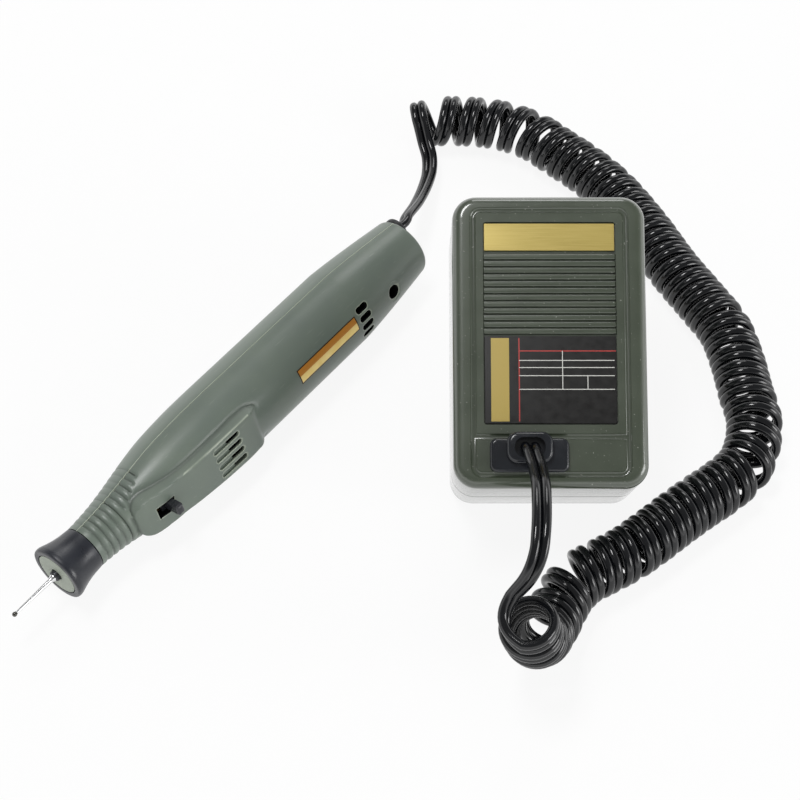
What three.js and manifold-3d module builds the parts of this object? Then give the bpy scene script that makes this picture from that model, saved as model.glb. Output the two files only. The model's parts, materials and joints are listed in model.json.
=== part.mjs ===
// Electric engraving pen with its plug-in mains supply and the spiral lead between them.
// Millimetres, +Z up. The pen lies along +X with its nose at the low end, the supply leans on
// its pins beside it, and the origin is the middle of the underside of pen and supply.
import * as THREE from 'three';
import { mergeVertices } from 'three/addons/utils/BufferGeometryUtils.js';
import Module from 'manifold-3d';

const wasm = await Module();
wasm.setup();

// Sizes that the whole object shares
const gap = 0.3;
const overrun = 1;
const mergeTolerance = 0.0001;
const housingSides = 28;
const cavitySides = 16;
const turnedSides = 16;
const smallSides = 12;
const wireSides = 6;
const cornerSteps = 3;
const arcSteps = 6;
const curveDivisions = 40;

// Angles in degrees
const quarterTurn = 90;
const halfTurn = 180;
const fullTurn = 360;

// Pen housing: two half shells, a slim ribbed neck that swells into a long belly
const housing = {
  length: 161.5,
  bellyRadius: 13.6,
  waistRadius: 7.3,
  wall: 1.8,
  neckStart: 12,
  bellyStart: 62,
  tailLength: 33.5,
  tailRadius: 10.5,
  rearEdge: 1.5,
  spigotRadius: 6.1,
  bulkhead: 1.9,
  ribThickness: 1.6,
  grooveCount: 10,
  groovePitch: 2.35,
  grooveHalfWidth: 0.45,
  grooveDepth: 0.5,
  switchSideTurn: 73,
};
const swellShares = [
  [0, 0], [0.18, 0.13], [0.3, 0.28], [0.43, 0.48], [0.56, 0.67],
  [0.68, 0.82], [0.81, 0.91], [0.94, 0.97], [1.14, 1],
];
const tailStepShares = [0, 0.27, 0.5, 0.75, 1];
const tailCurve = 1.1;
const rearEdgeShares = [[0.4, 0.1], [0, 0.5]];
const roundShare = 0.95;

// Nose: pale bearing cap in the flared black ring
const noseCap = { radius: 7.05, thickness: 2.5, holeRadius: 2.1 };
const collar = { frontRadius: 9.3, rimRadius: 9, rearRadius: 7.2, rim: 0.7 };
const collarFlareShares = [[0.45, 0.43], [0.72, 0.24]];

// Rotating set
const spindle = { radius: 2.5, back: 47, boreDepth: 9.2, room: 1.1 };
const bearing = { radius: 5, width: 4, innerWall: 0.4, outerWall: 0.5, ballCount: 7, rearStart: 34 };
const ballSides = 6;
const ballRows = 4;
const collet = { radius: 1.7, length: 10.2, proud: 1.2 };
const bit = { shankRadius: 1.175, neckRadius: 0.85, tipRadius: 0.5, ballRadius: 0.75, reach: 17.9 };
const coupling = { radius: 3.4, front: 44, length: 8 };
const motorShaft = { radius: 1, back: 98 };

// Motor
const motor = { front: 62, length: 34, radius: 10, canWall: 0.8, capThickness: 3 };
const magnet = { thickness: 1.9, spread: 70, endRoom: 3.2, arcSteps: 8 };
const rotor = { front: 68, length: 20, hubRadius: 2.2, shoeRadius: 6.3, shoeThickness: 1.1, neck: 1.8 };
const rotorPole = { count: 3, shoeSpread: 50, arcSteps: 4 };
const winding = { halfWidth: 2.5, endReach: 1.3 };
const commutator = { radius: 2.6, length: 3.2 };
const bush = { radius: 3, length: 3 };
const brush = { thickness: 0.5, length: 4, height: 3 };
const capacitor = { radius: 3.5, thickness: 3 };
const wireRadius = 0.55;

// Raised pad with the switch window, the switch below it and the vents behind it
const pad = { halfWidth: 6, bevel: 0.5, root: 5 };
const padShares = [
  [0.28, 0.17, 0.8], [0.32, 0.27, 0.85], [0.38, 0.47, 0.89], [0.48, 0.71, 0.94], [0.6, 0.83, 0.98],
  [0.72, 0.97, 1], [0.86, 1.05, 1], [1, 1.09, 1], [1.22, 1.09, 1], [1.28, 0.985, 0.9],
];
const switchWindow = { front: 32.8, length: 6.5, halfWidth: 2.1 };
const knob = { length: 2.6, halfWidth: 1.8, top: 16.4, tipBevel: 0.5 };
const slider = { length: 5, halfWidth: 2.6, thickness: 0.6 };
const switchBody = { front: 31.8, back: 45, halfWidth: 3.4, bottom: 6.7, top: 8.6 };
const contact = { inset: 1.3, halfWidth: 1.8, depth: 1, thickness: 0.4 };
const padVent = { front: 57, length: 10.3, open: 5, width: 1.5, pitch: 2.75, grooveDepth: 0.7, count: 4 };
const rearVent = { fromRear: 36.1, length: 5, width: 2.1, pitchAngle: 15.2, turn: 3.2, count: 4 };
const label = { fromVents: 1.4, length: 28, spread: 23, turn: 10, thickness: 0.3, sink: 0.1 };
const screw = { fromRear: 18.9, recess: 2.4, head: 2.1, headHeight: 1.8, shank: 1, depth: 5, wall: 1.2 };
const grommet = {
  y: 5.3,
  z: -1.8,
  flangeRadius: 4.4,
  flange: 2.2,
  neckRadius: 3.8,
  boreHalfWidth: 3.2,
  boreHalfHeight: 1.85,
  slotTurn: 41.5,
};

// Plug-in supply, in its own frame: x across, y up its face from the cord end, z out of the face
const unit = {
  width: 56.6,
  height: 86.5,
  depth: 43.5,
  seam: 20,
  cornerRadius: 7,
  faceEdge: 3,
  backEdge: 1,
  wall: 2.2,
  lean: 27,
  turn: -51.16,
  x: 116.84,
  y: -91.19,
};
const faceEdgeTurns = [0, 30, 60, 90];
const frameGroove = { halfWidth: 22.4, bottom: 3.8, topMargin: 4.5, width: 0.8, depth: 0.6, corner: 2.4 };
const barGroove = { y: 14.8 };
const recess = { halfWidth: 19.4, bottom: 18.3, topMargin: 8.1, depth: 1, corner: 1 };
const plate = { margin: 0.4, thickness: 0.5 };
const namePlate = { height: 8.1 };
const ratingPlate = { height: 25.7 };
const faceRib = { count: 12, startMargin: 0.6, endMargin: 0.66, topShare: 0.45, baseShare: 0.8 };
const block = {
  x: -6.4,
  halfWidth: 11.4,
  bottom: 4.4,
  top: 14.2,
  thickness: 2,
  stubHalfWidth: 6.7,
  stubBottom: 6.7,
  stubTop: 15.8,
  stubHeight: 4.5,
  mouthHalfWidth: 4.4,
  mouthHalfHeight: 2.9,
  mouthDepth: 3.2,
  neckHalfWidth: 4,
  neckHalfHeight: 2.6,
  neckDepth: 4.6,
};
const plugBoss = { y: 52.2, halfWidth: 15, halfHeight: 7, height: 6.5, corner: 5 };
const pin = { radius: 2, length: 19, halfSpacing: 9.5, tipBevel: 0.8, inside: 6 };
const core = { y: 50, z: 21, halfWidth: 19, halfHeight: 16, halfDepth: 7, leg: 6, side: 6 };
const bobbin = { wall: 0.8, flange: 0.8 };
const board = { halfWidth: 20, bottom: 13.5, top: 31, z: 10, thickness: 1.6 };
const bridge = { x: -14, y: 21, half: 4, height: 5 };
const reservoir = { x: 12, y: 22, radius: 5, height: 18 };
const fuse = { radius: 1.2, length: 8 };
const post = { radius: 2, inset: 3, boardX: 17, boardY: 22 };
const unitScrew = {
  lowX: 14,
  lowY: 8.5,
  highX: 0,
  topMargin: 8.5,
  head: 2.3,
  headHeight: 2,
  shank: 1.2,
  depth: 14,
  pad: 5,
  wall: 1.5,
};

// Twin flex: its section, and the spiral that it is set in
const flex = { width: 5.6, thickness: 2.9 };
const spiral = {
  radius: 7.35,
  curls: 43.48,
  startTurn: 57,
  stepsPerCurl: 8,
  stepsPerRoutePoint: 20,
  bendSteps: 10,
  sides: 5,
};
// How close the curls lie from the pen end on: shares of the route, and of the closest pitch
const crowdShares = [[0, 0.45], [0.03, 0.55], [0.035, 0.86], [0.25, 0.94], [0.36, 1], [1, 1]];
const gapSampleShares = [0, 0.33, 0.67];
const lead = { step: 6, sides: 8, penTwistPower: 0.6, supplyTwistPower: 3 };

// Hand-laid routes on the bench; the pen's nose face stands over their origin
const spiralRoute = [
  [212.2, 33.4, 9.3], [216.6, 28.8, 9.3], [223.8, 19.5, 9.3], [229.1, 9.8, 9.3], [231.9, -1.5, 9.3],
  [231.4, -14.3, 9.3], [230.6, -25.4, 9.3], [228.1, -38.1, 9.3], [221.1, -56.5, 9.3],
  [212.7, -74.4, 9.3], [207, -89.2, 9.3], [202.1, -100.8, 9.3], [194, -111, 9.3],
  [185.1, -120.1, 9.3], [178.4, -127.3, 9.3], [169.8, -132.4, 9.3], [161.2, -134.8, 9.3],
  [151.1, -133.7, 9.3], [141.7, -131.3, 9.3], [132.1, -129.1, 9.3], [122.5, -127.2, 9.3],
  [113.2, -124.9, 9.3], [104.8, -121.8, 9.3], [97.9, -119.3, 9.3], [90.4, -119, 9.3],
  [81.6, -121, 10.2], [74.2, -123, 13.6], [68.8, -124.4, 19.2], [65.4, -124.8, 25.6],
  [63.3, -124.6, 32.1], [61.9, -124.1, 38.3],
];
const penLeadRoute = [
  [169.6, 4.6, 17.5], [179.6, 8.3, 13], [190.5, 13.3, 8.5], [198.7, 17.8, 6.2], [204, 22, 6.4],
  [207.2, 26.3, 8.2], [209.3, 29.4, 11], [211, 32.2, 14.2], [212.5, 34, 15.9],
];
const supplyLeadRoute = [
  [97.4, -100.5, 51], [91.5, -105.8, 54.5], [86.2, -109.9, 56.2], [81.6, -113.3, 56.6],
  [77.5, -116.1, 56], [73.9, -118.3, 54.2], [70.2, -119.5, 51.4], [67.4, -119.3, 47.8],
  [64.2, -118, 43.6], [61.4, -117, 40.4],
];

// Solids and geometry
function solid(geometry) {
  const bare = geometry.index ? geometry.toNonIndexed() : geometry.clone();
  for (const name of Object.keys(bare.attributes)) {
    if (name !== 'position') bare.deleteAttribute(name);
  }
  const merged = mergeVertices(bare, mergeTolerance);
  const place = merged.attributes.position;
  const corners = [];
  let volume = 0;
  for (let i = 0; i < merged.index.count; i += 3) {
    const triple = [merged.index.getX(i), merged.index.getX(i + 1), merged.index.getX(i + 2)];
    if (new Set(triple).size < 3) continue;
    const [a, b, c] = triple.map((n) => new THREE.Vector3().fromBufferAttribute(place, n));
    volume += a.dot(b.cross(c));
    corners.push(triple);
  }
  if (volume < 0) corners.forEach((triple) => triple.reverse());
  const mesh = new wasm.Mesh({
    numProp: 3,
    vertProperties: new Float32Array(place.array),
    triVerts: new Uint32Array(corners.flat()),
  });
  return new wasm.Manifold(mesh);
}

function surface(body) {
  const mesh = body.getMesh();
  const geometry = new THREE.BufferGeometry();
  geometry.setAttribute('position', new THREE.BufferAttribute(new Float32Array(mesh.vertProperties), 3));
  geometry.setIndex(new THREE.BufferAttribute(new Uint32Array(mesh.triVerts), 1));
  geometry.computeVertexNormals();
  return geometry;
}

// A body of rings, each a closed loop of as many points, with its two ends capped
function lofted(rings) {
  const count = rings[0].length;
  const points = rings.flat().flatMap((p) => [p.x, p.y, p.z]);
  const index = [];
  for (let ring = 0; ring + 1 < rings.length; ring += 1) {
    for (let k = 0; k < count; k += 1) {
      const a = ring * count + k;
      const b = ring * count + ((k + 1) % count);
      index.push(a, b, b + count, a, b + count, a + count);
    }
  }
  for (const [ring, turnedRound] of [[0, true], [rings.length - 1, false]]) {
    const centre = new THREE.Vector3();
    rings[ring].forEach((p) => centre.addScaledVector(p, 1 / count));
    const middle = points.length / 3;
    points.push(centre.x, centre.y, centre.z);
    for (let k = 0; k < count; k += 1) {
      const pair = [ring * count + k, ring * count + ((k + 1) % count)];
      if (turnedRound) pair.reverse();
      index.push(pair[0], pair[1], middle);
    }
  }
  const geometry = new THREE.BufferGeometry();
  geometry.setAttribute('position', new THREE.Float32BufferAttribute(points, 3));
  geometry.setIndex(index);
  return geometry;
}

// Turned round the X axis from [x, radius] points that close on the axis or on themselves
function turned(outline, sides = turnedSides) {
  const points = outline.map(([x, radius]) => new THREE.Vector2(radius, x));
  if (outline[0][1] > 0) points.push(points[0].clone());
  return solid(new THREE.LatheGeometry(points, sides).rotateZ(-Math.PI / 2));
}

function rod(front, back, radius, sides = turnedSides) {
  return turned([[front, 0], [front, radius], [back, radius], [back, 0]], sides);
}

function ring(front, back, radius, bore, sides = turnedSides) {
  return turned([[front, radius], [back, radius], [back, bore], [front, bore]], sides);
}

function box(x0, x1, y0, y1, z0, z1) {
  const geometry = new THREE.BoxGeometry(x1 - x0, y1 - y0, z1 - z0);
  return solid(geometry.translate((x0 + x1) / 2, (y0 + y1) / 2, (z0 + z1) / 2));
}

function uprightRod(x, y, bottom, top, radius, sides = turnedSides) {
  const geometry = new THREE.CylinderGeometry(radius, radius, top - bottom, sides).rotateX(Math.PI / 2);
  return solid(geometry.translate(x, y, (bottom + top) / 2));
}

// A flat shape in the YZ plane, drawn out along X
function alongX(shape, front, back) {
  const geometry = new THREE.ExtrudeGeometry(shape, { depth: back - front, bevelEnabled: false });
  const across = new THREE.Matrix4().makeBasis(
    new THREE.Vector3(0, 1, 0), new THREE.Vector3(0, 0, 1), new THREE.Vector3(1, 0, 0));
  return solid(geometry.applyMatrix4(across).translate(front, 0, 0));
}

function arcShape(inner, outer, from, to, steps) {
  const points = [];
  for (const [radius, a, b] of [[outer, from, to], [inner, to, from]]) {
    for (let k = 0; k <= steps; k += 1) {
      const angle = a + ((b - a) * k) / steps;
      points.push(new THREE.Vector2(radius * Math.cos(angle), radius * Math.sin(angle)));
    }
  }
  return new THREE.Shape(points);
}

function roundedLoop(x0, x1, y0, y1, radius, z, steps = cornerSteps) {
  const corners = [[x1, y1, 0], [x0, y1, 1], [x0, y0, 2], [x1, y0, 3]];
  const points = [];
  for (const [x, y, quarter] of corners) {
    const cx = x - Math.sign(x - (x0 + x1) / 2) * radius;
    const cy = y - Math.sign(y - (y0 + y1) / 2) * radius;
    for (let k = 0; k <= steps; k += 1) {
      const angle = ((quarter + k / steps) * Math.PI) / 2;
      points.push(new THREE.Vector3(cx + radius * Math.cos(angle), cy + radius * Math.sin(angle), z));
    }
  }
  return points;
}

function roundedSlab(x0, x1, y0, y1, radius, z0, z1) {
  return solid(lofted([z0, z1].map((z) => roundedLoop(x0, x1, y0, y1, radius, z))));
}

const degrees = THREE.MathUtils.degToRad;

// Scene graph: one group for the pen, one for the supply, and the cords on the bench
const bench = new THREE.Group();
const pen = new THREE.Group();
const supply = new THREE.Group();
bench.add(pen, supply);

function addPiece(group, name, body, colour, roughness, metalness) {
  const material = new THREE.MeshStandardMaterial({ color: colour, roughness, metalness });
  const geometry = body.isBufferGeometry ? body : surface(body);
  const mesh = new THREE.Mesh(geometry, material);
  mesh.name = name;
  group.add(mesh);
  return mesh;
}

const penGreen = 0x7d8370;
const supplyOlive = 0x2f3328;
const blackPlastic = 0x191b20;
const steel = 0xb9bcc0;
const copper = 0xa8643a;
const brass = 0xb79a55;
const ironGrey = 0x55585c;

// Outside of the pen housing at x
function swellPoint([along, out]) {
  const x = housing.neckStart + along * (housing.bellyStart - housing.neckStart);
  return [x, housing.waistRadius + out * (housing.bellyRadius - housing.waistRadius)];
}

const tailStart = housing.length - housing.tailLength;
const rearVentFront = housing.length - rearVent.fromRear;
const labelFront = rearVentFront - label.fromVents - label.length;
const screwX = housing.length - screw.fromRear;

function tailPoint(share) {
  const x = tailStart + share * (housing.length - housing.rearEdge - tailStart);
  return [x, housing.bellyRadius - (housing.bellyRadius - housing.tailRadius) * share ** tailCurve];
}

const sideOutline = [...swellShares.map(swellPoint), ...tailStepShares.map(tailPoint)];

function outsideRadius(x) {
  const next = sideOutline.findIndex(([px]) => px >= x);
  if (next < 0) return sideOutline.at(-1)[1];
  if (next === 0) return sideOutline[0][1];
  const [x0, r0] = sideOutline[next - 1];
  const [x1, r1] = sideOutline[next];
  return r0 + ((r1 - r0) * (x - x0)) / (x1 - x0);
}

const spigotFront = noseCap.thickness + gap;
const seatRadius = bearing.radius + gap;
const frontSeatEnd = spigotFront + bearing.width + gap;
const frontBulkheadEnd = frontSeatEnd + housing.bulkhead;
const cavityEnd = housing.length - housing.wall;
const grommetFront = cavityEnd - gap - housing.wall;
const grommetBack = housing.length + gap + grommet.flange;

// Ribbed neck, swell, belly and tail in one outline, with the ring grooves cut into it
function housingOutline() {
  const outline = [[spigotFront, 0], [spigotFront, housing.spigotRadius]];
  outline.push([housing.neckStart, housing.spigotRadius], [housing.neckStart, housing.waistRadius]);
  const grooves = [];
  for (let k = 0; k < housing.grooveCount; k += 1) {
    const x = housing.neckStart + (k + 1) * housing.groovePitch;
    const [from, to] = [x - housing.grooveHalfWidth, x + housing.grooveHalfWidth];
    grooves.push([from, outsideRadius(from)]);
    grooves.push([x, outsideRadius(x) - housing.grooveDepth]);
    grooves.push([to, outsideRadius(to)]);
  }
  const ribbedEnd = grooves.at(-1)[0];
  outline.push(...grooves, ...sideOutline.filter(([x]) => x > ribbedEnd));
  for (const [back, down] of rearEdgeShares) {
    outline.push([housing.length - housing.rearEdge * back, housing.tailRadius - housing.rearEdge * down]);
  }
  outline.push([housing.length, 0]);
  return outline;
}

// Flat pad on the switch side: stations along the pen, each with its top and its width
function padBody() {
  const swell = housing.bellyRadius - housing.waistRadius;
  const rings = padShares.map(([along, out, wide]) => {
    const x = housing.neckStart + along * (housing.bellyStart - housing.neckStart);
    const top = housing.waistRadius + out * swell;
    const half = pad.halfWidth * wide;
    const corners = [
      [-half, pad.root], [half, pad.root], [half, top - pad.bevel],
      [half - pad.bevel, top], [pad.bevel - half, top], [-half, top - pad.bevel],
    ];
    return corners.map(([y, z]) => new THREE.Vector3(x, y, z));
  });
  return solid(lofted(rings));
}

// Hollow of the housing, one wall inside its outline, from the front bulkhead to the rear wall
function cavityBody() {
  const stations = [frontBulkheadEnd, ...sideOutline.map(([x]) => x), cavityEnd];
  const inside = stations.filter((x) => x >= frontBulkheadEnd && x <= cavityEnd);
  const outline = inside.map((x) => {
    const behindSpigot = x > housing.neckStart + housing.wall;
    const outside = behindSpigot ? outsideRadius(x) : housing.spigotRadius + housing.wall / 2;
    return [x, outside - housing.wall - (behindSpigot ? 0 : housing.grooveDepth)];
  });
  return turned([[frontBulkheadEnd, 0], ...outline, [cavityEnd, 0]], cavitySides);
}

// Rings inside the housing that hold the rear bearing and the motor
const motorBack = motor.front + motor.length;
const motorBore = motor.radius + gap;
const rearSeatFront = bearing.rearStart - gap;
const rearSeatEnd = bearing.rearStart + bearing.width + gap;
const motorStop = motor.front - gap;
const rib = housing.ribThickness;
const canStart = motor.front + motor.canWall;
const canEnd = motorBack - motor.canWall;
const holdingRings = [
  { front: rearSeatFront, back: rearSeatEnd, bore: seatRadius },
  { front: rearSeatEnd, back: rearSeatEnd + rib, bore: spindle.radius + spindle.room },
  { front: motorStop - rib, back: motorStop, bore: motorBore - housing.wall },
  { front: canStart, back: canStart + rib, bore: motorBore },
  { front: canEnd - rib, back: canEnd, bore: motorBore },
];

function housingHollow() {
  let hollow = cavityBody();
  for (const { front, back, bore } of holdingRings) {
    hollow = hollow.subtract(ring(front, back, housing.bellyRadius, bore, cavitySides));
  }
  const seat = rod(spigotFront - overrun, frontSeatEnd, seatRadius);
  const holeRadius = spindle.radius + spindle.room;
  const spindleHole = rod(frontSeatEnd - overrun, frontBulkheadEnd + overrun, holeRadius);
  return hollow.add(seat).add(spindleHole);
}

// Switch window, the slider's and the switch body's space below it, all in the pad
const windowBack = switchWindow.front + switchWindow.length;
const sliderRoomTop = switchBody.top + slider.thickness + gap * 2;
const knobBack = windowBack - gap;
const knobFront = knobBack - knob.length;
const knobTravel = knobFront - switchWindow.front - gap;
const sliderBack = (knobBack + knobFront + slider.length) / 2;
const sliderFront = sliderBack - slider.length;

function switchSpaces() {
  const { halfWidth, bottom, top } = switchBody;
  const bodySpace = box(switchBody.front - gap, switchBody.back + gap, -halfWidth - gap, halfWidth + gap,
    bottom - gap, top + gap);
  const sliderSpace = box(sliderFront - knobTravel - gap, sliderBack + gap, -slider.halfWidth - gap,
    slider.halfWidth + gap, bottom, sliderRoomTop);
  const opening = box(switchWindow.front, windowBack, -switchWindow.halfWidth, switchWindow.halfWidth,
    bottom, knob.top);
  return bodySpace.add(sliderSpace).add(opening);
}

// Lengthwise vent slots in the pad: open at the back, a shallow groove ahead of that
function padVents() {
  const padTop = housing.waistRadius + padShares.at(-2)[1] * (housing.bellyRadius - housing.waistRadius);
  const slots = [];
  for (let k = 0; k < padVent.count; k += 1) {
    const y = (k - (padVent.count - 1) / 2) * padVent.pitch;
    const [left, right] = [y - padVent.width / 2, y + padVent.width / 2];
    const back = padVent.front + padVent.length;
    slots.push(box(padVent.front, back, left, right, padTop - padVent.grooveDepth, padTop + overrun));
    slots.push(box(back - padVent.open, back, left, right, motorBore, padTop));
  }
  return slots;
}

// Vent slots round the tail, one group on each half
function rearVents() {
  const slots = [];
  for (let k = 0; k < rearVent.count * 2; k += 1) {
    const half = Math.floor(k / rearVent.count);
    const step = (k % rearVent.count) - (rearVent.count - 1) / 2;
    const angle = rearVent.turn + step * rearVent.pitchAngle + half * halfTurn;
    const inner = housing.bellyRadius - housing.wall - overrun;
    const back = rearVentFront + rearVent.length;
    const [left, right] = [-rearVent.width / 2, rearVent.width / 2];
    const slot = box(rearVentFront, back, left, right, inner, housing.bellyRadius + overrun);
    slots.push(slot.rotate([angle, 0, 0]));
  }
  return slots;
}

// Sector of a tube round the pen axis; its middle is turned from the switch side toward +Y
function sector(front, back, inner, outer, spread, turn, steps = arcSteps) {
  const middle = quarterTurn - turn;
  const shape = arcShape(inner, outer, degrees(middle - spread / 2), degrees(middle + spread / 2), steps);
  return alongX(shape, front, back);
}

const labelOuter = housing.bellyRadius - label.sink;
const labelInner = labelOuter - label.thickness;
const labelSlack = THREE.MathUtils.radToDeg(gap / housing.bellyRadius);

function labelPocket() {
  const back = labelFront + label.length;
  const spread = label.spread + labelSlack * 2;
  const above = housing.bellyRadius + overrun;
  return sector(labelFront - gap, back + gap, labelInner - gap, above, spread, label.turn);
}

const screwHeadSeat = gap;
const screwHeadTop = screwHeadSeat + screw.wall + gap + screw.headHeight;

function pillars() {
  const reach = outsideRadius(screwX);
  const switchSide = uprightRod(screwX, 0, 0, reach, screw.recess + screw.wall);
  const plainSide = uprightRod(screwX, 0, -reach, 0, screw.shank + gap + screw.wall);
  return switchSide.add(plainSide);
}

function pillarHoles() {
  const recessFloor = screwHeadSeat + screw.wall;
  const recessHole = uprightRod(screwX, 0, recessFloor, housing.bellyRadius + overrun, screw.recess);
  const shankHole = uprightRod(screwX, 0, -screw.depth - gap, recessFloor + overrun, screw.shank + gap);
  return recessHole.add(shankHole);
}

// Slots through the motor rings for the wires that pass the can on both sides
const wireSide = (motor.radius + outsideRadius(motor.front) - housing.wall) / 2;

function wireSlots() {
  const front = motor.front - gap - housing.ribThickness - overrun;
  const half = wireRadius + gap;
  return [-1, 1].map((side) => {
    const ys = [side * (wireSide - half), side * (wireSide + half)].sort((a, b) => a - b);
    return box(front, motorBack, ...ys, -half, half);
  });
}

function shells() {
  const outside = turned(housingOutline(), housingSides).add(padBody());
  let whole = outside.subtract(housingHollow()).add(pillars().intersect(outside));
  const grommetHole = rod(grommetFront - gap, housing.length + overrun, grommet.neckRadius + gap)
    .translate([0, grommet.y, grommet.z]);
  const vents = [...padVents(), ...rearVents()];
  const cuts = [switchSpaces(), ...vents, ...wireSlots(), labelPocket(), pillarHoles(), grommetHole];
  for (const cut of cuts) whole = whole.subtract(cut);
  const far = housing.length * 2;
  const upper = box(-far, far, -far, far, gap / 2, far);
  const lower = box(-far, far, -far, far, -far, -gap / 2);
  addPiece(pen, 'switch_side_shell', whole.intersect(upper), penGreen, 0.62, 0);
  addPiece(pen, 'plain_side_shell', whole.intersect(lower), penGreen, 0.62, 0);
}

// Pale disc that closes the front bearing, inside the flared ring
function nose() {
  const cap = ring(0, noseCap.thickness, noseCap.radius, noseCap.holeRadius, housingSides);
  addPiece(pen, 'nose_bearing_cap', cap, 0x8f9584, 0.55, 0);
  const recessRadius = noseCap.radius + gap;
  const back = housing.neckStart - gap;
  const flare = collarFlareShares.map(([along, out]) => (
    [along * back, collar.rearRadius + out * (collar.frontRadius - collar.rearRadius)]));
  const outline = [
    [0, collar.rimRadius], [collar.rim, collar.frontRadius], [collar.rim * 2, collar.frontRadius],
    ...flare, [back, collar.rearRadius],
    [back, housing.spigotRadius + gap], [spigotFront, housing.spigotRadius + gap],
    [spigotFront, recessRadius], [0, recessRadius],
  ];
  addPiece(pen, 'grip_collar', turned(outline, housingSides), blackPlastic, 0.45, 0);
}

// Ball bearing: outer race, inner race, and the balls on a thin ring
function ballBearing(side, front) {
  const back = front + bearing.width;
  const innerBore = spindle.radius + gap;
  const innerOuter = innerBore + bearing.innerWall;
  const outerBore = bearing.radius - bearing.outerWall;
  addPiece(pen, `${side}_bearing_outer_race`, ring(front, back, bearing.radius, outerBore), steel, 0.25, 1);
  addPiece(pen, `${side}_bearing_inner_race`, ring(front, back, innerOuter, innerBore), steel, 0.25, 1);
  const middle = (innerOuter + outerBore) / 2;
  const ballRadius = (outerBore - innerOuter) / 2 - gap;
  const wire = ballRadius / 2;
  const centre = (front + back) / 2;
  let balls = ring(centre - wire, centre + wire, middle + wire, middle - wire);
  for (let k = 0; k < bearing.ballCount; k += 1) {
    const angle = (k / bearing.ballCount) * Math.PI * 2;
    const ball = new THREE.SphereGeometry(ballRadius, ballSides, ballRows);
    balls = balls.add(solid(ball.translate(centre, middle * Math.cos(angle), middle * Math.sin(angle))));
  }
  addPiece(pen, `${side}_bearing_balls`, balls, steel, 0.2, 1);
}

// Hollow spindle, the collet in its nose and the ball-ended bit in the collet
function spindleSet() {
  const boreEnd = spigotFront + spindle.boreDepth;
  const bore = collet.radius + gap;
  const body = turned([
    [spigotFront, spindle.radius], [spindle.back, spindle.radius], [spindle.back, 0],
    [boreEnd, 0], [boreEnd, bore], [spigotFront, bore],
  ].reverse());
  addPiece(pen, 'spindle', body, steel, 0.3, 1);
  const colletBack = collet.length - collet.proud;
  const bitBack = colletBack - gap;
  const sleeve = ring(-collet.proud, colletBack, collet.radius, bit.shankRadius + gap, smallSides);
  addPiece(pen, 'collet', sleeve, ironGrey, 0.4, 1);
  const neckFront = -bit.reach + bit.ballRadius;
  const shankFront = -collet.proud - gap;
  const ball = [-1, -0.7, 0].map((share) => (
    [neckFront + share * bit.ballRadius, bit.ballRadius * Math.sqrt(1 - share * share)]));
  const outline = [
    ...ball, [neckFront + bit.ballRadius, bit.tipRadius],
    [shankFront, bit.neckRadius], [shankFront, bit.shankRadius], [bitBack, bit.shankRadius], [bitBack, 0],
  ];
  addPiece(pen, 'engraving_bit', turned(outline, smallSides), steel, 0.3, 1);
}

// Stepped sleeve that joins the spindle to the motor shaft
function drive() {
  const back = coupling.front + coupling.length;
  const joint = spindle.back + gap / 2;
  const sleeve = turned([
    [coupling.front, coupling.radius], [back, coupling.radius], [back, motorShaft.radius + gap],
    [joint, motorShaft.radius + gap], [joint, spindle.radius + gap], [coupling.front, spindle.radius + gap],
  ]);
  addPiece(pen, 'coupling_sleeve', sleeve, 0x8a3b2a, 0.5, 0);
  const shaft = rod(spindle.back + gap, motorShaft.back, motorShaft.radius, smallSides);
  addPiece(pen, 'motor_shaft', shaft, steel, 0.25, 1);
}

// Motor can with its two magnets, closed by the end cap that carries the brushes
function motorBody() {
  const innerRadius = motor.radius - motor.canWall;
  const bushHole = bush.radius + gap;
  const can = turned([
    [motor.front, motor.radius], [motorBack, motor.radius], [motorBack, innerRadius],
    [motor.front + motor.canWall, innerRadius], [motor.front + motor.canWall, bushHole],
    [motor.front, bushHole],
  ]);
  addPiece(pen, 'motor_can', can, 0x8c9094, 0.35, 1);
  const magnetOuter = innerRadius - gap * 2;
  const magnetInner = magnetOuter - magnet.thickness;
  const magnetFront = motor.front + motor.canWall + magnet.endRoom;
  const magnetBack = motorBack - magnet.endRoom - commutator.length;
  const spread = magnet.spread * 2;
  for (const [name, turn] of [['magnet_upper', quarterTurn], ['magnet_lower', -quarterTurn]]) {
    const arc = sector(magnetFront, magnetBack, magnetInner, magnetOuter, spread, turn, magnet.arcSteps);
    addPiece(pen, name, arc, 0x3a3a3c, 0.7, 0);
  }
  const capFront = motorBack + gap;
  const capBack = capFront + motor.capThickness;
  addPiece(pen, 'motor_end_cap', ring(capFront, capBack, motor.radius, bushHole), 0xd8d4c6, 0.6, 0);
  const bushBore = motorShaft.radius + gap;
  const frontBush = ring(motor.front, motor.front + bush.length, bush.radius, bushBore, smallSides);
  addPiece(pen, 'motor_front_bush', frontBush, brass, 0.4, 1);
  const rearBush = ring(capBack - bush.length, capBack, bush.radius, bushBore, smallSides);
  addPiece(pen, 'motor_rear_bush', rearBush, brass, 0.4, 1);
  const brushBack = capFront - gap;
  for (const [name, side] of [['brush_arm_left', 1], ['brush_arm_right', -1]]) {
    const ys = [side * (commutator.radius + gap), side * (commutator.radius + gap + brush.thickness)];
    ys.sort((a, b) => a - b);
    const arm = box(brushBack - brush.length, brushBack, ...ys, -brush.height / 2, brush.height);
    addPiece(pen, name, arm, copper, 0.4, 1);
  }
  const canFront = capBack + gap;
  const disc = rod(canFront, canFront + capacitor.thickness, capacitor.radius);
  addPiece(pen, 'suppressor_capacitor', disc, 0xc27a2c, 0.5, 0);
}

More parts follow.
